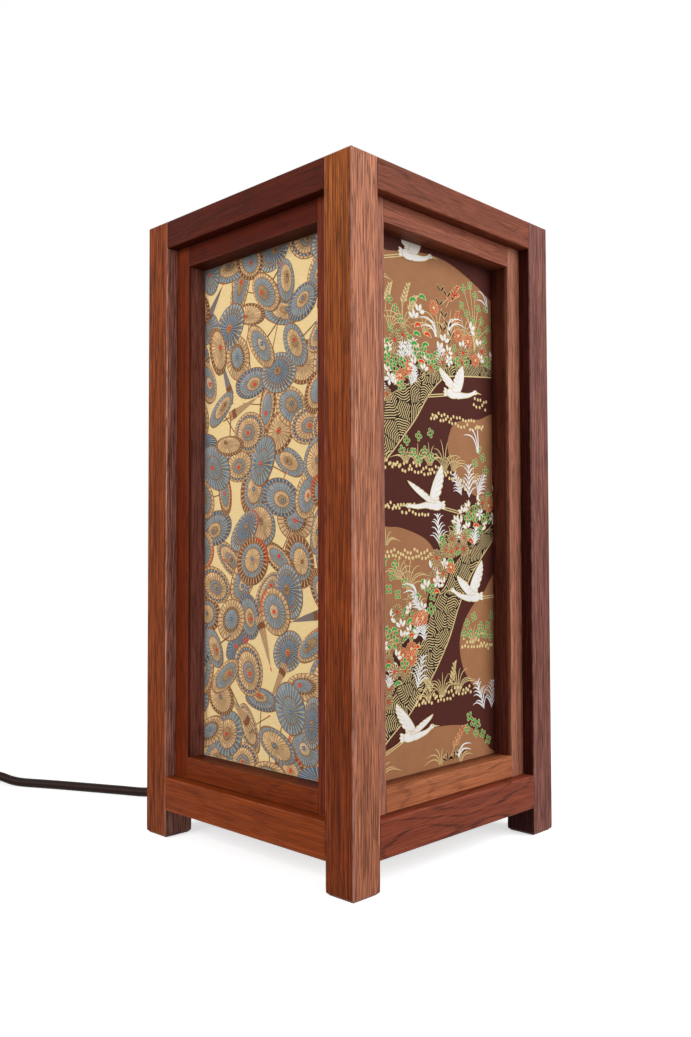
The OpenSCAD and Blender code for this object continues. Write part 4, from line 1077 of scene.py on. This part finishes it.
class LANTERN_OT_umbrellas(bpy.types.Operator):
    """Prints the umbrella pattern on the front and back papers"""

    bl_idname = "lantern.umbrellas"
    bl_label = "Umbrella papers"

    def execute(self, context):
        paper = context.scene.lantern_paper
        cream = tuple(paper.cream)
        ground = coated("Cream paper", cream, tuple(0.86 * x for x in cream), (0.6, 0.8),
                        share="Fibres", amount=0.6, specular_ior_level=DULL)
        finish(ground, "paper_front", "paper_back")
        ink = ink_material("Umbrella inks")
        drawing = umbrella_drawing(paper)
        for side in ("front", "back"):
            piece = drawing.piece(f"umbrella_print_{side}", side, paper.lift, ink)
        return {"FINISHED"}


# The edges of the hills and streams, across and up in millimetres
HILLS = [
    [(-60, 322), (-39, 323.6), (-12, 328.4), (9, 328.7), (30, 323.5), (51.7, 314.7), (60, 309),
     (60, 272.3), (20, 267), (-2.5, 260), (-20, 246), (-40, 230), (-60, 215)],
    [(60, 243), (40, 241.5), (19.7, 238), (12.6, 229), (12.6, 220), (21.5, 204.6), (34, 198),
     (60, 196)],
    [(-60, 178), (-39.7, 177.8), (-28.5, 177.4), (-15, 174.2), (-6, 170.3), (0, 163.9),
     (8, 148), (-4, 118), (-60, 100)],
    [(60, 150), (44, 141), (31.6, 131.7), (23.5, 121), (21.5, 110), (25, 98.5), (33, 89),
     (41, 83.8), (54.9, 79.6), (60, 78)],
    [(-60, 60.5), (-39.5, 62.6), (-22, 66.8), (-5, 68.9), (17.8, 67.9), (35.2, 62.9),
     (48.7, 50.9), (52, 44), (-60, 44)],
]
STREAMS = [
    (
        [(60, 276.3), (53.6, 275.5), (23.4, 271.3), (-2.5, 263.7), (-17.8, 257.1), (-39.2, 246.1),
         (-60, 234)],
        [(60, 268.3), (53.5, 268), (14.5, 263.6), (4.8, 259.3), (-5.8, 249.3), (-16, 236.4),
         (-25.3, 226.8), (-39.4, 213.2), (-60, 195)],
    ),
    (
        [(60, 185), (44.6, 175.5), (27.6, 165.2), (16.6, 156.6), (9.1, 146.2), (0.7, 138.3),
         (-10.6, 117.7), (-19.5, 106.4), (-31, 93.8), (-39.4, 85), (-60, 68)],
        [(60, 177), (46.8, 165.2), (37.5, 156.3), (31.8, 150.3), (20.7, 133.5), (11.9, 116.2),
         (-2.7, 96.7), (-14.8, 85.3), (-23.6, 77.5), (-39.5, 66.8), (-60, 50)],
    ),
]


def bow(start, middle, end, t):
    """A curve drawn towards a middle point: (1 - t)^2 start + 2 t (1 - t) middle + t^2 end."""
    return start * (1 - t) ** 2 + 2 * t * (1 - t) * middle + end * t**2


class CraneField:
    """Draws the motifs of the dark paper. Each motif is a small drawing in millimetres."""

    def __init__(self, paper):
        self.draw = Drawing()
        self.rng = np.random.default_rng(paper.seed + 1)
        for name in ("gold", "water", "hill", "white", "red", "green", "plum"):
            setattr(self, name, np.array(tuple(getattr(paper, name))))
        self.pale_gold = np.clip(1.12 * self.gold, 0, 1)

    def stream(self, upper, lower, level):
        """Water between two edges, filled with patches of gold rings. A point belongs to the
        patch whose seed is nearest, and each patch has a middle of its own at some distance.
        Line k of a patch runs round that middle at k pitches plus a small wave."""
        draw, rng = self.draw, self.rng
        top, bottom = smooth(upper, 240), smooth(lower, 240)
        draw.patch(np.vstack([top, bottom[::-1]]), self.water, level)
        high, low = (edge[np.argsort(edge[:, 0])].T for edge in (top, bottom))
        x, y = np.meshgrid(np.arange(-58, 59, 10.5), np.arange(40, 290, 9.5), indexing="ij")
        seeds = np.stack([x.ravel(), y.ravel()], 1) + rng.uniform(-3.4, 3.4, (x.size, 2))
        above, below = (np.interp(seeds[:, 0], *edge) for edge in (high, low))
        seeds = seeds[(seeds[:, 1] < above + 4) & (seeds[:, 1] > below - 4)]
        pitch, thin = 1.4, 0.5
        for k, seed in enumerate(seeds):
            away, heading = rng.uniform(5, 15), rng.uniform(0, 2 * np.pi)
            middle = seed + away * np.array([np.cos(heading), np.sin(heading)])
            ripples, start = round(away * 0.75), rng.uniform(0, 6)
            for r in np.arange(pitch * rng.uniform(0.7, 1.4), away + 9, pitch):
                angle = np.linspace(0, 2 * np.pi, int(2 * np.pi * r / 0.7) + 8)
                wavy = r + 0.45 * np.sin(ripples * angle + start) * min(1.0, r / 5)
                line = middle + wavy[:, None] * np.stack([np.cos(angle), np.sin(angle)], 1)
                apart = np.linalg.norm(line[:, None] - seeds[None], axis=2)
                inside = ((apart.argmin(1) == k) & (line[:, 1] < np.interp(line[:, 0], *high))
                          & (line[:, 1] > np.interp(line[:, 0], *low)))
                for part in np.split(np.arange(len(angle)), np.flatnonzero(np.diff(inside)) + 1):
                    if inside[part[0]] and len(part) > 3:
                        draw.ribbon(line[part], thin, self.gold, level + 1 + k % 4)
        for edge in (top, bottom):
            draw.ribbon(edge[::4], 0.75, self.gold, level + 5)

    def moss(self, start, end, level, depth=2.8):
        """A loose double row of pale gold dots, each a six-sided blob. Every fourth dot shares
        a layer, so neighbours never lie in one plane."""
        start, end = np.array(start, float), np.array(end, float)
        count = max(4, int(np.linalg.norm(end - start) * 0.75))
        t = (np.arange(count) + self.rng.uniform(-0.3, 0.3, count)) / count
        places = start + t[:, None] * (end - start)
        places[:, 1] += np.where(np.arange(count) % 2, 1, -1) * self.rng.uniform(0, depth, count)
        angle = np.arange(6) * np.pi / 3
        blob = np.stack([0.95 * np.cos(angle), 1.05 * np.sin(angle)], 1)
        turns = self.rng.uniform(-0.5, 0.5, count)
        for k in range(4):
            self.draw.copies(blob, turns[k::4], places[k::4], self.pale_gold, level + k)

    def blades(self, foot, height, spread, count, colour, level, width=0.55, lean=0.0):
        """Grass: from one foot, each blade is a parabola that leaves upright and bends over
        to its own side. It widens from the foot and narrows to its tip."""
        t = np.linspace(0, 1, 9)
        for k in range(count):
            side = (2 * (k + 0.5) / count - 1) * spread + lean
            tall = height * (1 - 0.3 * abs(side - lean) / spread) * self.rng.uniform(0.75, 1.1)
            x = foot[0] + tall * side * (0.3 * t + 0.7 * t * t) + 0.5 * (k - 0.5 * count)
            y = foot[1] + tall * (1.4 * t - 0.5 * t * t * (1 + abs(side)))
            self.draw.ribbon(np.stack([x, y], 1), width * (0.5 + 1.9 * t - 2.2 * t * t), colour,
                             level + k % 4)

    def spray(self, foot, height, colour, level, turn=0.0):
        """A stem with pairs of long leaves: each leaf leaves the stem at a slant and arches
        over to its tip."""
        t = np.linspace(0, 1, 7)
        way = np.array([math.sin(turn), math.cos(turn)])
        side = np.array([way[1], -way[0]])
        self.draw.ribbon(foot + np.outer(t, way) * height, 0.6, colour, level)
        for k in range(6):
            for hand in (-1, 1):
                start = foot + way * height * (0.05 + 0.16 * k + self.rng.uniform(-0.03, 0.03))
                reach = height * (0.54 - 0.06 * k) * self.rng.uniform(0.8, 1.2)
                line = start + np.outer(t, side) * reach * hand * 0.78 + np.outer(
                    1.35 * t - 0.8 * t * t, way) * reach
                self.draw.ribbon(line, 1.05 * (1.05 - 0.85 * t), colour, level + 1 + k % 2)

    def seeds(self, foot, height, colour, level, turn=0.0):
        """A spike of seeds: a gold stem with small four-sided seeds to both sides."""
        way = np.array([math.sin(turn), math.cos(turn)])
        side = np.array([way[1], -way[0]])
        bend, k = 0.18 * height * (1 if turn >= 0 else -1), np.arange(10)
        t, up = np.linspace(0, 1, 7), 0.4 + 0.065 * k
        stem = foot + np.outer(t, way) * height + np.outer(bend * t**2, side)
        self.draw.ribbon(stem, 0.4, self.gold, level)
        places = foot + np.outer(up, way) * height + np.outer(
            bend * up**2 + (k % 2 * 2 - 1) * (1.5 - 0.12 * k), side)
        seed = np.array([(0, -1.0), (0.6, 0), (0, 1.2), (-0.6, 0)])
        self.draw.copies(1.6 * seed, (k % 2 * 2 - 1) * -0.7 - turn, places, self.gold, level)
        self.draw.copies(1.05 * seed, (k % 2 * 2 - 1) * -0.7 - turn, places, colour, level + 1)

    def blossom(self, place, radius, petals, colour, rim, core, level):
        """A chrysanthemum: petals in a ring, each a six-sided blade from a quarter of the
        radius to the whole, with a wider one in the rim's colour under it, and a core."""
        turns = np.arange(petals) * 2 * np.pi / petals + self.rng.uniform(0, 1)
        wide = radius * np.sin(np.pi / petals)
        blade = np.array([(0.24, 0.14), (0.24, -0.14), (0.8, -0.7), (0.99, -0.34), (0.99, 0.34),
                          (0.8, 0.7)]) * (radius, wide)
        inside = blade * (0.95, 0.62)
        places = np.tile(place, (petals, 1))
        self.draw.copies(blade, turns, places, rim, level)
        self.draw.copies(inside, turns, places, colour, level + 1)
        angle = np.arange(7) * 2 * np.pi / 7
        dot = np.stack([np.cos(angle), np.sin(angle)], 1) * 0.24 * radius
        self.draw.patch(dot + place, core, level + 2)

    def bellflower(self, place, radius, colour, core, level):
        """Five broad pointed petals on a slightly larger flower of gold."""
        turns = np.arange(5) * 2 * np.pi / 5 + self.rng.uniform(0, 1.2)
        petal = np.array([(0.1, 0.0), (0.42, -0.24), (0.78, -0.3), (1.05, 0), (0.78, 0.3),
                          (0.42, 0.24)]) * radius
        places = np.tile(place, (5, 1))
        self.draw.copies(1.14 * petal, turns, places, self.gold, level)
        self.draw.copies(petal, turns, places, colour, level + 1)
        angle = np.arange(6) * np.pi / 3
        dot = np.stack([np.cos(angle), np.sin(angle)], 1) * 0.18 * radius
        self.draw.patch(dot + place, core, level + 2)

    def clover(self, place, radius, colour, level):
        """Four round lobes in gold with a coloured lobe in each, and a stem."""
        turns = np.arange(4) * np.pi / 2 + self.rng.uniform(0, 1.5)
        angle = np.arange(7) * 2 * np.pi / 7
        lobe = np.stack([0.62 + 0.42 * np.cos(angle), 0.42 * np.sin(angle)], 1) * radius
        small = np.stack([0.62 + 0.31 * np.cos(angle), 0.31 * np.sin(angle)], 1) * radius
        places = np.tile(place, (4, 1))
        self.draw.copies(lobe, turns, places, self.gold, level)
        self.draw.copies(small, turns, places, colour, level + 1)

    def leaves(self, place, length, colours, level, wide=0.17, start=None, step=1.1):
        """A few pointed leaves that fan out round one foot, each edged with gold."""
        leaf = np.array([(0.14, 0.0), (0.42, -wide), (0.75, -wide), (1.05, 0), (0.75, wide),
                         (0.42, wide)]) * length
        if start is None:
            start = self.rng.uniform(0, 2 * np.pi)
        turns = start + np.arange(len(colours)) * step
        places = np.tile(place, (len(colours), 1))
        self.draw.copies(leaf * (1.06, 1.4), turns, places, self.gold, level)
        self.draw.copies(leaf, turns, places, np.array(colours), level + 1)

    def fan(self, place, radius, turn, colour, level):
        """A half-round leaf edged with gold, with a notch of gold at its foot."""
        angle = np.linspace(0, np.pi, 9)
        half = np.stack([np.cos(angle), 0.85 * np.sin(angle)], 1) * radius
        turn, place = np.full(1, turn), place[None]
        self.draw.copies(half, turn, place, self.gold, level)
        self.draw.copies(0.78 * half + (0, 0.07 * radius), turn, place, colour, level + 1)
        self.draw.copies(0.3 * half, turn, place, self.gold, level + 2)

    def wing(self, front, back, tip, level):
        """A wing: the leading edge bends from the shoulder to the tip, and the trailing edge
        bends back to the body in scallops, a small sine bow added to each feather."""
        front, back, tip = (np.asarray(p, float) for p in (front, back, tip))
        t = np.linspace(0, 1, 43)[:, None]
        span = tip - 0.5 * (front + back)
        out = front - back
        lead = bow(front, front + 0.5 * span + 0.45 * out, tip, t)
        trail = bow(back, back + 0.7 * span - 0.6 * out, tip, t)
        trail = trail - 0.18 * out * np.abs(np.sin(7 * np.pi * t)) * (1.2 - t)
        outline = np.vstack([lead, trail[::-1]])
        self.draw.patch(outline, self.white, level, self.gold, 0.4)
        for k in range(6, 42, 6):
            vein = np.stack([trail[k], 0.55 * trail[k] + 0.45 * lead[max(0, k - 5)]])
            self.draw.ribbon(vein, 0.24, self.gold, level + 1)

    def crane(self, body, way, beak, tail, tips, level):
        """A crane in flight: two wings, an egg-shaped body, a neck that narrows to the head,
        a beak, tail feathers and trailing legs. way is 1 to fly right and -1 to fly left."""
        body = np.array(body, float)

        def at(x, y):
            return body + (way * x, y)

        beak, tail = body + beak, body + tail
        for k, drop in enumerate((0.7, -0.5)):
            knee = 0.5 * (at(-6, -1) + tail) + (0, drop)
            line = smooth([at(-6, -1 + drop), knee, tail + (0, drop)], 9)
            self.draw.ribbon(line, 0.6, self.gold, level + k)
        feather = np.array([(0, -0.7), (4.6, -0.8), (5.6, 0), (4.6, 0.8), (0, 0.7)])
        for k, turn in enumerate((-0.4, -0.05, 0.3)):
            fan = np.full(1, np.pi * (way > 0) + way * turn)
            self.draw.copies(1.12 * feather, fan, at(-5, 0)[None], self.gold, level + 2 + 2 * k)
            self.draw.copies(feather, fan, at(-5, 0)[None], self.white, level + 3 + 2 * k)
        self.wing(at(3.4, 1.2), at(-2.6, 1.0), body + tips[0], level + 8)
        angle = np.linspace(0, 2 * np.pi, 26, endpoint=False)
        plump = 2.7 * np.sin(angle) * (1 - 0.3 * np.cos(angle))
        egg = np.stack([-1.2 + 6.6 * np.cos(angle), plump], 1)
        neck_end = beak - (way * 6.6, 0) + (0, 0.5)
        neck = smooth([at(1.5, -0.3), at(5.5, -0.2), 0.5 * (at(6, -0.2) + neck_end) - (0, 0.7),
                       neck_end], 16)
        width = 1.5 + 2.9 * (1 - np.linspace(0, 1, 16)) ** 1.6
        head = np.stack([1.9 * np.cos(angle), 1.2 * np.sin(angle)], 1) + neck_end
        self.draw.ribbon(neck, width + 0.7, self.gold, level + 10)
        self.draw.patch(egg * (way, 1) + body, self.white, level + 11, self.gold, 0.4)
        self.draw.patch(head, self.white, level + 13, self.gold, 0.4)
        bill = np.linspace(0, 1, 5)[:, None]
        self.draw.ribbon(neck_end + (way * 1.6, 0) + bill * (beak - neck_end - (way * 1.6, 0)),
                         1.1 * (1.1 - bill[:, 0]), self.gold, level + 15)
        self.draw.ribbon(neck, width, self.white, level + 16)
        self.draw.patch(0.8 * (egg * (way, 1)) + body, self.white, level + 17)
        eye = 0.2 * (head - neck_end) + neck_end + (way * 0.5, 0.3)
        self.draw.patch(eye, self.water, level + 18)
        self.wing(at(4.2, 1.4), at(-2.0, 1.0), body + tips[1], level + 18)

    def motif(self, place, high, level):
        """One small plant or flower, more often a flower near the water."""
        rng, kind = self.rng, self.rng.random()
        size = rng.uniform(3.7, 4.7)
        if high:
            kind = 0.2 + 0.8 * kind
        if kind < 0.14:
            self.blossom(place, size, 12, self.red, self.gold, self.pale_gold, level)
        elif kind < 0.37:
            self.blossom(place, 1.05 * size, 12, 0.7 * self.hill, self.gold, self.red, level)
        elif kind < 0.55:
            start = rng.uniform(-0.6, 2.2)
            self.leaves(place, 1.15 * size, [self.white] * 3, level, 0.17, start, 0.85)
            self.leaves(place, 0.5 * size, [self.red], level + 2, 0.16, start + 0.85)
        elif kind < 0.66:
            ink = (self.green, self.green, self.red)[rng.integers(3)]
            self.fan(place, 0.72 * size, rng.uniform(-0.7, 0.7), ink, level)
        elif kind < 0.72:
            self.bellflower(place, 0.8 * size, self.white, self.pale_gold, level)
        elif kind < 0.92:
            self.clover(place, 0.8 * size, self.green, level)
        else:
            self.spray(place - (0, size), 2.6 * size, self.white, level, rng.uniform(-0.6, 0.6))

    def meadow(self, edge, depth, level):
        """Plants close together in a band above a stream's upper edge: each stands at a
        height above the edge, and they are drawn in a random order."""
        rng = self.rng
        line = smooth(edge, 120)
        line = line[np.argsort(line[:, 0])]
        x, h = np.meshgrid(np.arange(-56, 57, 5.8), np.arange(2.5, depth(0) + 24, 5.2),
                           indexing="ij")
        x = x.ravel() + rng.uniform(-1.8, 1.8, x.size)
        h = h.ravel() + rng.uniform(-1.4, 1.4, h.size)
        base = np.interp(x, line[:, 0], line[:, 1])
        keep = h < np.array([depth(v) for v in x]) + rng.normal(0, 1.5, x.size)
        x, h, base = x[keep], h[keep], base[keep]
        order = rng.permutation(len(h))
        places = np.stack([x, base + h], 1)[order]
        tall = h[order] > 0.62 * np.array([depth(v) for v in places[:, 0]])
        rows = level + 12 + 3 * stacked(places, np.full(len(places), 3.8))
        top = line[:, 1] + 0.55 * np.array([depth(v) for v in line[:, 0]])
        top += 1.6 * np.sin(0.9 * line[:, 0]) + 1.1 * np.sin(0.37 * line[:, 0])
        shade = np.vstack([line, np.stack([line[:, 0], top], 1)[::-1]])
        self.draw.patch(shade, 0.75 * self.plum, level)
        for k, place in enumerate(places[::3]):
            self.blades(place - (0, 3), rng.uniform(7, 13), 0.9, 4, self.gold,
                        level + 1 + 4 * (k % 2))
            self.leaves(place, 4.0, [self.water, self.green, self.water], level + 9 + k % 2, 0.13)
        for place, high, row in zip(places, tall, rows):
            self.motif(place, high, int(row))
        return int(rows.max()) + 3


# Plants of the crane paper, across and up in millimetres
# Rows of moss: both ends
MOSS = (
    ((-54, 212), (17, 208)), ((-54, 189), (-4, 187)), ((-3, 240), (46, 237)),
    ((-54, 164), (0, 163)), ((-17, 84), (33, 87)), ((24, 113), (54, 110)),
    ((17, 206), (30, 201)), ((36, 252), (50, 250)),
)
# Gold grasses: across, up, height, number of blades and lean
GRASSES = (
    (-14, 212, 15, 9, 0.0), (-24, 212, 12, 7, -0.2), (-4, 212, 14, 8, 0.1),
    (9, 210, 20, 8, 0.0), (17, 210, 15, 7, 0.5), (6, 85, 18, 9, 0.0), (20, 86, 19, 8, 0.3),
    (-6, 84, 13, 7, -0.4), (34, 112, 16, 7, 0.2), (-40, 168, 12, 6, 0.2),
    (-22, 144, 22, 8, 0.3), (-30, 150, 16, 7, 0.0), (-44, 48, 16, 6, 0.3), (4, 48, 14, 5, -0.4),
    (22, 47, 12, 5, 0.2), (36, 204, 12, 5, 0.5), (-45, 306, 12, 5, 0.3), (4, 284, 26, 6, -0.5),
    (14, 284, 24, 5, 0.1), (-26, 284, 22, 6, -0.3), (-36, 282, 18, 6, 0.4),
    (28, 286, 20, 6, 0.5), (-8, 284, 16, 5, 0.3),
)
# Spikes of seeds: across, up, height, turn and ink
SEED_SPIKES = (
    (11, 302, 18, 0.5, "red"), (8, 304, 16, 0.9, "red"), (-27, 292, 18, 0.15, "gold"),
    (18, 288, 14, 0.1, "red"), (12, 50, 21, 0.5, "red"), (14, 86, 17, 0.0, "gold"),
    (0, 86, 14, -0.6, "gold"), (-22, 290, 15, 0.3, "gold"), (-40, 292, 15, 0.1, "gold"),
)
# Clovers on the open ground
CLOVERS = (
    (-23, 224), (-13, 227), (-4, 229.5), (-18, 218.5), (-8, 220), (-27, 219), (-13, 215),
    (-3, 217), (28, 124), (35, 127), (41, 121), (48, 122), (52, 127), (31, 118), (45, 117),
    (38, 117), (26, 118), (50, 116), (30, 71), (34, 68), (38, 66), (28, 65), (36, 61), (42, 60),
    (47, 56), (40, 224), (44, 219), (37, 216), (47, 212), (-44, 150), (-36, 152), (-48, 143),
    (-31, 142), (-38, 145), (-26, 148), (-33, 158), (-42, 160),
)
# White sprays: across, up, height and turn
SPRAYS = (
    (31, 196, 19, 0.0), (24, 197, 14, -0.5), (39, 197, 15, 0.5), (4, 168, 18, -0.1),
    (-18, 262, 19, 0.05), (44, 74, 18, -0.4), (51, 74, 16, 0.1), (-16, 92, 18, 0.3),
    (-26, 100, 15, -0.2),
)
# White blades: across, up, height and lean
WHITE_BLADES = (
    (13, 287, 22, 0.7), (2, 284, 18, -0.8), (40, 222, 20, -0.4), (50, 306, 16, -0.5),
    (20, 50, 12, 0.9), (-16, 140, 14, -0.8),
)
# Ends of the twigs of the bush at the top right
TWIGS = (
    (27, 316), (33, 319), (38, 314), (41, 307), (44, 300), (42, 293), (36, 299), (30, 302),
    (25, 306), (47, 289), (50, 296),
)
# Dark leaves under the top hill
HANGING_LEAVES = (
    (6, 310), (12, 308), (5, 302), (9, 296), (13, 291), (8, 288), (16, 286), (12, 281),
)
# The plants of the top hill, by kind
BLOSSOMS = (
    (31, 286), (14, 274), (45.5, 278), (22, 288), (0, 300),
)
GOLD_BLOSSOMS = (
    (35, 278), (25, 274), (3, 272),
)
FANS = (
    (-17.7, 300), (-10, 303), (-14.6, 282), (-7.3, 277), (-13.5, 287), (-5.5, 283), (50, 273),
)
WHITE_LEAVES = (
    (-13, 295), (-17, 291), (33, 293), (41, 284), (26, 281), (9, 282), (-17, 274), (-7, 269),
    (5, 277), (-24, 268),
)
CLOVER_SPOTS = TWIGS + (
    (-37, 298), (-32, 294), (-36, 283), (-30, 281), (-25, 283), (-28, 289), (18, 280),
    (48, 308),
)
# Each kind of those plants: its radius and its places
PLANTS = {
    "blossom": (3.1, BLOSSOMS),
    "gold": (3.2, GOLD_BLOSSOMS),
    "fan": (2.8, FANS),
    "white": (3.0, WHITE_LEAVES),
    "clover": (2.6, CLOVER_SPOTS),
}
# Cranes: body, 1 to fly right or -1 left, and from the body the beak, tail and wing tips
CRANES = (
    ((-19, 325), 1, (22.4, 2.5), (-22, -5.5), ((-11, 17), (7, 12))),
    ((18.8, 254), 1, (25, 2.5), (-24.5, -4), ((-13.9, 13.5), (6.8, 17))),
    ((-1.8, 190.4), -1, (-27.6, -1.5), (24.2, -3.8), ((7.4, 22.6), (-21.7, 12.4))),
    ((32.8, 138.8), -1, (-24.5, 4), (24, 0), ((9.3, 21), (-14, 12.5))),
    ((-19.8, 67), 1, (22.5, 2.5), (-24, -7.5), ((-13.1, 18.5), (17, 9.5))),
)


def crane_drawing(paper):
    """Hills, two streams, meadows above them, grasses, moss and five cranes in flight."""
    field = CraneField(paper)
    draw, rng = field.draw, field.rng
    for outline in HILLS:
        draw.patch(smooth(outline, 90, closed=True), field.hill, 0)
    for upper, lower in STREAMS:
        field.stream(upper, lower, 2)
    for start, end in MOSS:
        field.moss(start, end, 9)
    for x, z, tall, count, lean in GRASSES:
        field.blades(np.array([x, z]), tall, 1.3, count, field.gold, 13, 0.6, lean)
    for x, z, tall, turn, ink in SEED_SPIKES:
        field.seeds(np.array([x, z]), tall, getattr(field, ink), 14, turn)
    for x, z in CLOVERS:
        field.clover(np.array([x, z]) + rng.uniform(-0.6, 0.6, 2), 2.9, field.green, 17)
    for x, z in ((16, 49), (10, 49), (22, 51)):
        field.leaves(np.array([x, z]), 5.4, [field.water] * 3, 19, 0.1, 0.5)
    for x, z, tall, turn in SPRAYS:
        field.spray(np.array([x, z]), tall, field.white, 21, turn)
    for x, z, tall, lean in WHITE_BLADES:
        field.blades(np.array([x, z]), tall, 0.5, 3, field.white, 24, 1.0, lean)
    for k, (x, z) in enumerate(TWIGS):
        t = np.linspace(0, 1, 7)
        line = np.stack([37 + (x - 37) * t**1.6, 280 + (z - 280) * t**0.8], 1)
        draw.ribbon(line, 0.45, field.gold, 24 + k % 4)
    top = 28
    for x, z in HANGING_LEAVES:
        field.leaves(np.array([x, z]), 4.8, [field.water] * 2, top + 1, 0.13, 0.85, 1.4)
    plants = [(x, z, size, kind) for kind, (size, spots) in PLANTS.items() for x, z in spots]
    places = np.array([plant[:2] for plant in plants])
    rows = top + 4 + 3 * stacked(places, np.array([plant[2] for plant in plants]))
    for place, (_, _, size, kind), row in zip(places, plants, rows.tolist()):
        if kind == "blossom":
            field.blossom(place, 1.4 * size, 12, field.red, field.gold, field.pale_gold, row)
        elif kind == "gold":
            field.blossom(place, 1.4 * size, 12, 0.7 * field.hill, field.gold, field.red, row)
        elif kind == "fan":
            ink = field.red if 282.5 < place[1] < 288 else field.green
            field.fan(place, 1.25 * size, rng.uniform(-0.4, 0.4), ink, row)
        elif kind == "white":
            start = rng.uniform(-0.5, 1.6)
            field.leaves(place, 1.7 * size, [field.white] * 3, row, 0.19, start, 0.9)
        else:
            field.clover(place, size, field.green, row)
    top = int(rows.max()) + 3
    top = max(field.meadow(STREAMS[0][0], lambda x: 8 + 24 * min(1.0, max(0.0, -x / 34)), top),
              field.meadow(STREAMS[1][0], lambda x: 26 + 0.45 * max(0.0, -x - 4) - 0.05 * x, top))
    for body, way, beak, tail, tips in CRANES:
        field.crane(body, way, beak, tail, tips, top)
    return draw


class LANTERN_OT_cranes(bpy.types.Operator):
    """Prints the crane pattern on the right and left papers"""

    bl_idname = "lantern.cranes"
    bl_label = "Crane papers"

    def execute(self, context):
        paper = context.scene.lantern_paper
        plum = tuple(paper.plum)
        ground = coated("Plum paper", plum, tuple(1.3 * x for x in plum), (0.6, 0.8),
                        share="Fibres", amount=0.7, specular_ior_level=DULL)
        finish(ground, "paper_right", "paper_left")
        ink = ink_material("Crane inks")
        drawing = crane_drawing(paper)
        for side in ("right", "left"):
            piece = drawing.piece(f"crane_print_{side}", side, paper.lift, ink)
        return {"FINISHED"}


# Inside


class LANTERN_OT_inside(bpy.types.Operator):
    """Finishes the panes, the beads, the base board, the holder, the bulb and the fixings"""

    bl_idname = "lantern.inside"
    bl_label = "Inside fittings"

    def execute(self, context):
        wood = context.scene.lantern_wood
        board = tuple(wood.board)
        streak = tuple(0.45 * c for c in board)
        for name, node, seed, arches in (("Base board wood", "base_board", 31.0, 0.3),
                                         ("Cleat wood", "board_cleats", 35.0, 0.1)):
            finish(timber(name, board, streak, "x", seed, wood.wander, arches=arches,
                          contrast=0.12), node)
        finish(timber("Bead wood", tuple(wood.ruddy), tuple(wood.streak), "z", 38.0, wood.wander),
               "pane_beads")
        metal = {"metallic": 1.0}
        coats(
            ("Milky pane", (232, 228, 214), (244, 242, 232), (0.3, 0.45), 0.00001,
             {"transmission_weight": 0.12, "coat_weight": 0.1},
             [f"pane_{side}" for side in SIDES]),
            ("Brass", (206, 168, 92), (160, 118, 58), (0.22, 0.4), 0.000008, metal,
             ["bead_pins", "holder_screw_shell", "holder_contact", "holder_terminals",
              "switch_contacts", "plug_blades"]),
            ("Plated steel", (196, 192, 184), (150, 146, 138), (0.25, 0.42), 0.000008, metal,
             ["wood_screws", "switch_screws", "bulb_screw_cap", "bulb_contact_tip"]),
            ("Holder plastic", (236, 232, 222), (216, 210, 196), (0.3, 0.42), 0.000012, {},
             ["holder_body"]),
            ("Bulb dome", (246, 244, 236), (234, 230, 216), (0.4, 0.52), 0.000008,
             {"subsurface_weight": 0.1}, ["bulb_dome"]),
            ("Bulb housing", (240, 239, 234), (222, 220, 212), (0.35, 0.45), 0.00001, {},
             ["bulb_housing"]),
            ("Light board", (225, 228, 226), (200, 170, 90), (0.3, 0.45), 0.00001,
             {"size": 0.5, "amount": 0.6}, ["bulb_light_board"]),
            ("Cap insulator", (36, 34, 38), (60, 56, 62), (0.2, 0.3), 0.000006, {},
             ["bulb_insulator"]),
            ("Cord clamp", (230, 226, 214), (210, 204, 188), (0.35, 0.5), 0.00001, {},
             ["cord_clamp"]),
            ("Wire insulation", (40, 32, 30), (96, 60, 40), (0.35, 0.5), 0.00001, {},
             ["lead_wires"]),
        )
        return {"FINISHED"}


STEPS = (LANTERN_OT_stage, LANTERN_OT_cords, LANTERN_OT_woodwork, LANTERN_OT_umbrellas,
         LANTERN_OT_cranes, LANTERN_OT_inside)
SETTINGS = {"lantern_stage": LanternStage, "lantern_cord": LanternCord,
            "lantern_wood": LanternWood, "lantern_paper": LanternPaper}


class LANTERN_PT_panel(bpy.types.Panel):
    """Lists the steps and their settings"""

    bl_idname = "LANTERN_PT_panel"
    bl_label = "Wooden lantern lamp"
    bl_space_type = "VIEW_3D"
    bl_region_type = "UI"
    bl_category = "Lantern"

    def draw(self, context):
        for step in STEPS:
            self.layout.operator(step.bl_idname)
        for name, kind in SETTINGS.items():
            box = self.layout.box()
            box.label(text=kind.__doc__)
            for setting in kind.__annotations__:
                box.prop(getattr(context.scene, name), setting)


def register():
    for kind in (*SETTINGS.values(), *STEPS, LANTERN_PT_panel):
        bpy.utils.register_class(kind)
    for name, kind in SETTINGS.items():
        setattr(bpy.types.Scene, name, PointerProperty(type=kind))


def unregister():
    for name in SETTINGS:
        delattr(bpy.types.Scene, name)
    for kind in (LANTERN_PT_panel, *reversed(STEPS), *reversed(SETTINGS.values())):
        bpy.utils.unregister_class(kind)


def main():
    register()
    timber_figure()
    joinery_masks()
    fine_grain()
    bpy.ops.lantern.stage()
    bpy.ops.lantern.cords()
    bpy.ops.lantern.woodwork()
    bpy.ops.lantern.umbrellas()
    bpy.ops.lantern.cranes()
    bpy.ops.lantern.inside()
    bpy.context.view_layer.update()


if __name__ == "__main__":
    main()
